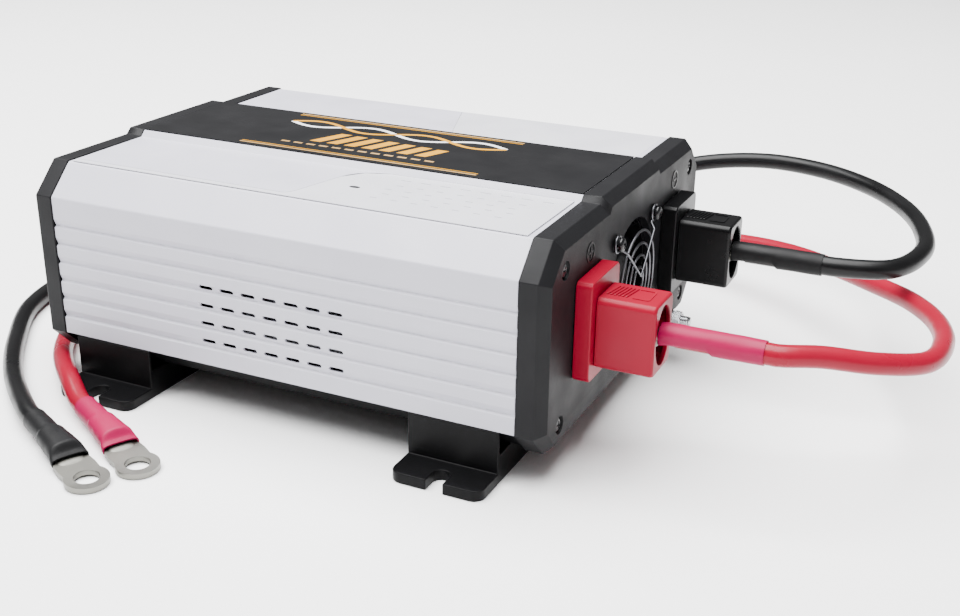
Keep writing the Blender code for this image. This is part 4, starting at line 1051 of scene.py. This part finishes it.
def make_boot(colour, side):
    """A pull-off hood with rounded edges, slanted grip ribs and an oval cable mouth."""
    node = "terminal_boot_" + colour
    y = side * TERMINAL_Y
    look = HOOD_LOOKS[colour]
    slot = SLOTS[node]
    bm = bmesh.new()
    rings = []
    for x, inset in ((135.5, 0.25), (135.75, 0), (159.2, 0), (159.7, 0.12), (160.15, 0.42),
                     (160.42, 0.85), (160.5, 1.3)):
        outline = round_box(y, BOOT_Z, 23 - 2 * inset, 31 - 2 * inset, 3.0 - 0.6 * inset, 7)
        rings.append(section_x(outline, x))
    skin(bm, rings)
    hollow = bmesh.new()
    skin(hollow, [section_x(round_box(y, BOOT_Z, 19.8, 27.8, 2.0, 6), x) for x in (134, 158.9)])
    mouth = bmesh.new()
    rings = []
    for x, grow in ((156, 0), (160.0, 0), (160.35, 0.2), (160.6, 0.6), (162, 0.9)):
        outline = [(y + (9 + grow) * math.cos(math.tau * k / 64),
                    BOOT_Z + (12.8 + grow) * math.sin(math.tau * k / 64)) for k in range(64)]
        rings.append(section_x(outline, x))
    skin(mouth, rings)
    bm = carve(bm, hollow, mouth)
    piece("hood_" + colour, bm, look, body=colour + "_boot", slot=slot, stands_for=(node,),
          angle=26)
    top = BOOT_Z + 15.5
    bm = bmesh.new()
    for rib in range(6):
        x = 138.1 + 1.6 * rib
        lean = 0.9
        rings = []
        for z, narrow in ((top - 0.4, 0), (top + 0.35, 0.02), (top + 0.58, 0.26)):
            half = 5.2 - narrow
            rings.append([at(x - lean + narrow, y - half, z),
                          at(x + 0.85 - lean - narrow, y - half, z),
                          at(x + 0.85 + lean - narrow, y + half, z),
                          at(x + lean + narrow, y + half, z)])
        skin(bm, rings)
    hoop = [(148.4, y - 5.2), (155.2, y - 5.2), (155.2, y + 5.2), (148.4, y + 5.2)]
    strokes(bm, [filleted(hoop, [0, 1.4, 1.4, 0], 5)], 0.6, top - 0.3, top + 0.3)
    piece("hood_grip_" + colour, bm, look, body=colour + "_boot", slot=slot, angle=30)


def make_terminal(colour):
    """What stands behind a hood: flange, bar, bolt and nut."""
    refine("terminal_flange_" + colour, HOOD_LOOKS[colour], 0.7, segments=3)
    refine("terminal_bar_" + colour, "tinned_copper", 0.3)
    refine("terminal_bolt_" + colour, "steel", 0.15)
    node = "terminal_nut_" + colour
    low, high = corners(node)
    bm = bmesh.new()
    hex_nut(bm, Vector(((low.x + high.x) / 2, (low.y + high.y) / 2, low.z)), (0, 0, 1),
            min(high.x - low.x, high.y - low.y) / MM, (high.z - low.z) / MM, 4.2)
    piece(node + "_shape", bm, "steel", stands_for=(node,), angle=28)


for colour, side in (("red", -1), ("black", 1)):
    make_boot(colour, side)
    make_terminal(colour)


def make_polarity_marks():
    """A plus and a minus in a ring beside the terminals, as low raised marks."""
    bm = bmesh.new()
    for y, z, plus in ((-56, 90, True), (58, 91, False)):
        ring_out = arc(y, z, 4.4, 0, 360, 40)
        ring_in = arc(y, z, 3.7, 0, 360, 40)
        for k in range(40):
            quad = [ring_out[k], ring_out[k + 1], ring_in[k + 1], ring_in[k]]
            skin(bm, [section_x(quad, x) for x in (BEZEL_FACE - 0.1, BEZEL_FACE + 0.35)])
        arms = [(2.4, 0.36)] + ([(0.36, 2.4)] if plus else [])
        for half_y, half_z in arms:
            quad = [(y - half_y, z - half_z), (y + half_y, z - half_z), (y + half_y, z + half_z),
                    (y - half_y, z + half_z)]
            skin(bm, [section_x(quad, x) for x in (BEZEL_FACE - 0.1, BEZEL_FACE + 0.35)])
    piece("polarity_marks", bm, "gloss_black", slot="black_plastic", angle=30)


make_polarity_marks()


# ---------------------------------------------------------------- mains end

def make_mains_end():
    """The outlets, switch and sockets from the CAD, and two domed lamps."""
    for node, look, width, body in (("outlet_front", "gloss_black", 0.35, "housing"),
                                    ("outlet_rear", "gloss_black", 0.35, "housing"),
                                    ("switch_housing", "gloss_black", 0.3, "housing"),
                                    ("power_switch", "gloss_black", 0.35, "power_rocker"),
                                    ("usb_port", "black_plastic", 0.2, "housing"),
                                    ("remote_jack", "black_plastic", 0.2, "housing")):
        refine(node, look, width, shortest=1.0, body=body)
    for node, look in (("power_lamp", "green_lamp"), ("fault_lamp", "red_lamp")):
        low, high = corners(node)
        radius = (high.y - low.y) / 2 / MM
        reach = (high.x - low.x) / MM
        profile = [(0, 0), (0, radius), (reach * 0.55, radius)]
        for step in range(1, 9):
            angle = math.radians(90 * step / 8)
            profile.append((reach * (0.55 + 0.45 * math.sin(angle)), radius * math.cos(angle)))
        bm = bmesh.new()
        lathe(bm, Vector((high.x, (low.y + high.y) / 2, (low.z + high.z) / 2)), (-1, 0, 0),
              profile, 32)
        piece(node + "_lens", bm, look, stands_for=(node,), angle=40)


make_mains_end()


# ---------------------------------------------------------------- everything else

def dress_the_rest():
    """The CAD nodes that stay as they are get the looks of their slots."""
    for node, ob in frame["nodes"].items():
        look = LOOKS[SLOTS[node]]
        if not ob.material_slots:
            ob.data.materials.append(look)
        for slot in ob.material_slots:
            slot.material = look


dress_the_rest()


# ---------------------------------------------------------------- floor and light

def make_light(name, size, power, spot, aim):
    """A white rectangular lamp, in metres and watts."""
    data = bpy.data.lights.new(name, "AREA")
    data.shape = "RECTANGLE"
    data.size, data.size_y = size
    data.energy = power
    ob = bpy.data.objects.new(name, data)
    way = Vector(aim) - Vector(spot)
    ob.matrix_world = Matrix.Translation(spot) @ way.to_track_quat("-Z", "Y").to_matrix().to_4x4()
    bpy.context.scene.collection.objects.link(ob)


def make_stage():
    """A pale floor, three lamps and a dim white world."""
    tree = Tree("floor")
    tree.set(Base_Color=tree.mix(tree.span(tree.noise(3.0), 0.3, 0.7), (0.9, 0.9, 0.9, 1),
                                 (0.93, 0.93, 0.93, 1)),
             Roughness=tree.span(tree.noise(40), 0.3, 0.7, 0.78, 0.86))
    mesh = bpy.data.meshes.new("floor")
    bm = bmesh.new()
    block(bm, (-6, -6, -0.02), (6, 6, 0))
    bm.to_mesh(mesh)
    bm.free()
    floor = bpy.data.objects.new("floor", mesh)
    bpy.context.scene.collection.objects.link(floor)
    mesh.materials.append(tree.material)
    make_light("key", (1.6, 1.2), 6, (0.5, -1.0, 1.6), (0, 0, 0.05))
    make_light("overhead", (2.2, 2.2), 250, (-0.35, -0.1, 1.9), (0, 0, 0))
    make_light("side", (0.9, 1.4), 2, (1.8, -0.2, 0.8), (0.1, 0, 0.06))
    world = bpy.data.worlds.new("studio")
    world.use_nodes = True
    world.node_tree.nodes["Background"].inputs["Color"].default_value = (1, 1, 1, 1)
    world.node_tree.nodes["Background"].inputs["Strength"].default_value = 0.22
    bpy.context.scene.world = world


make_stage()
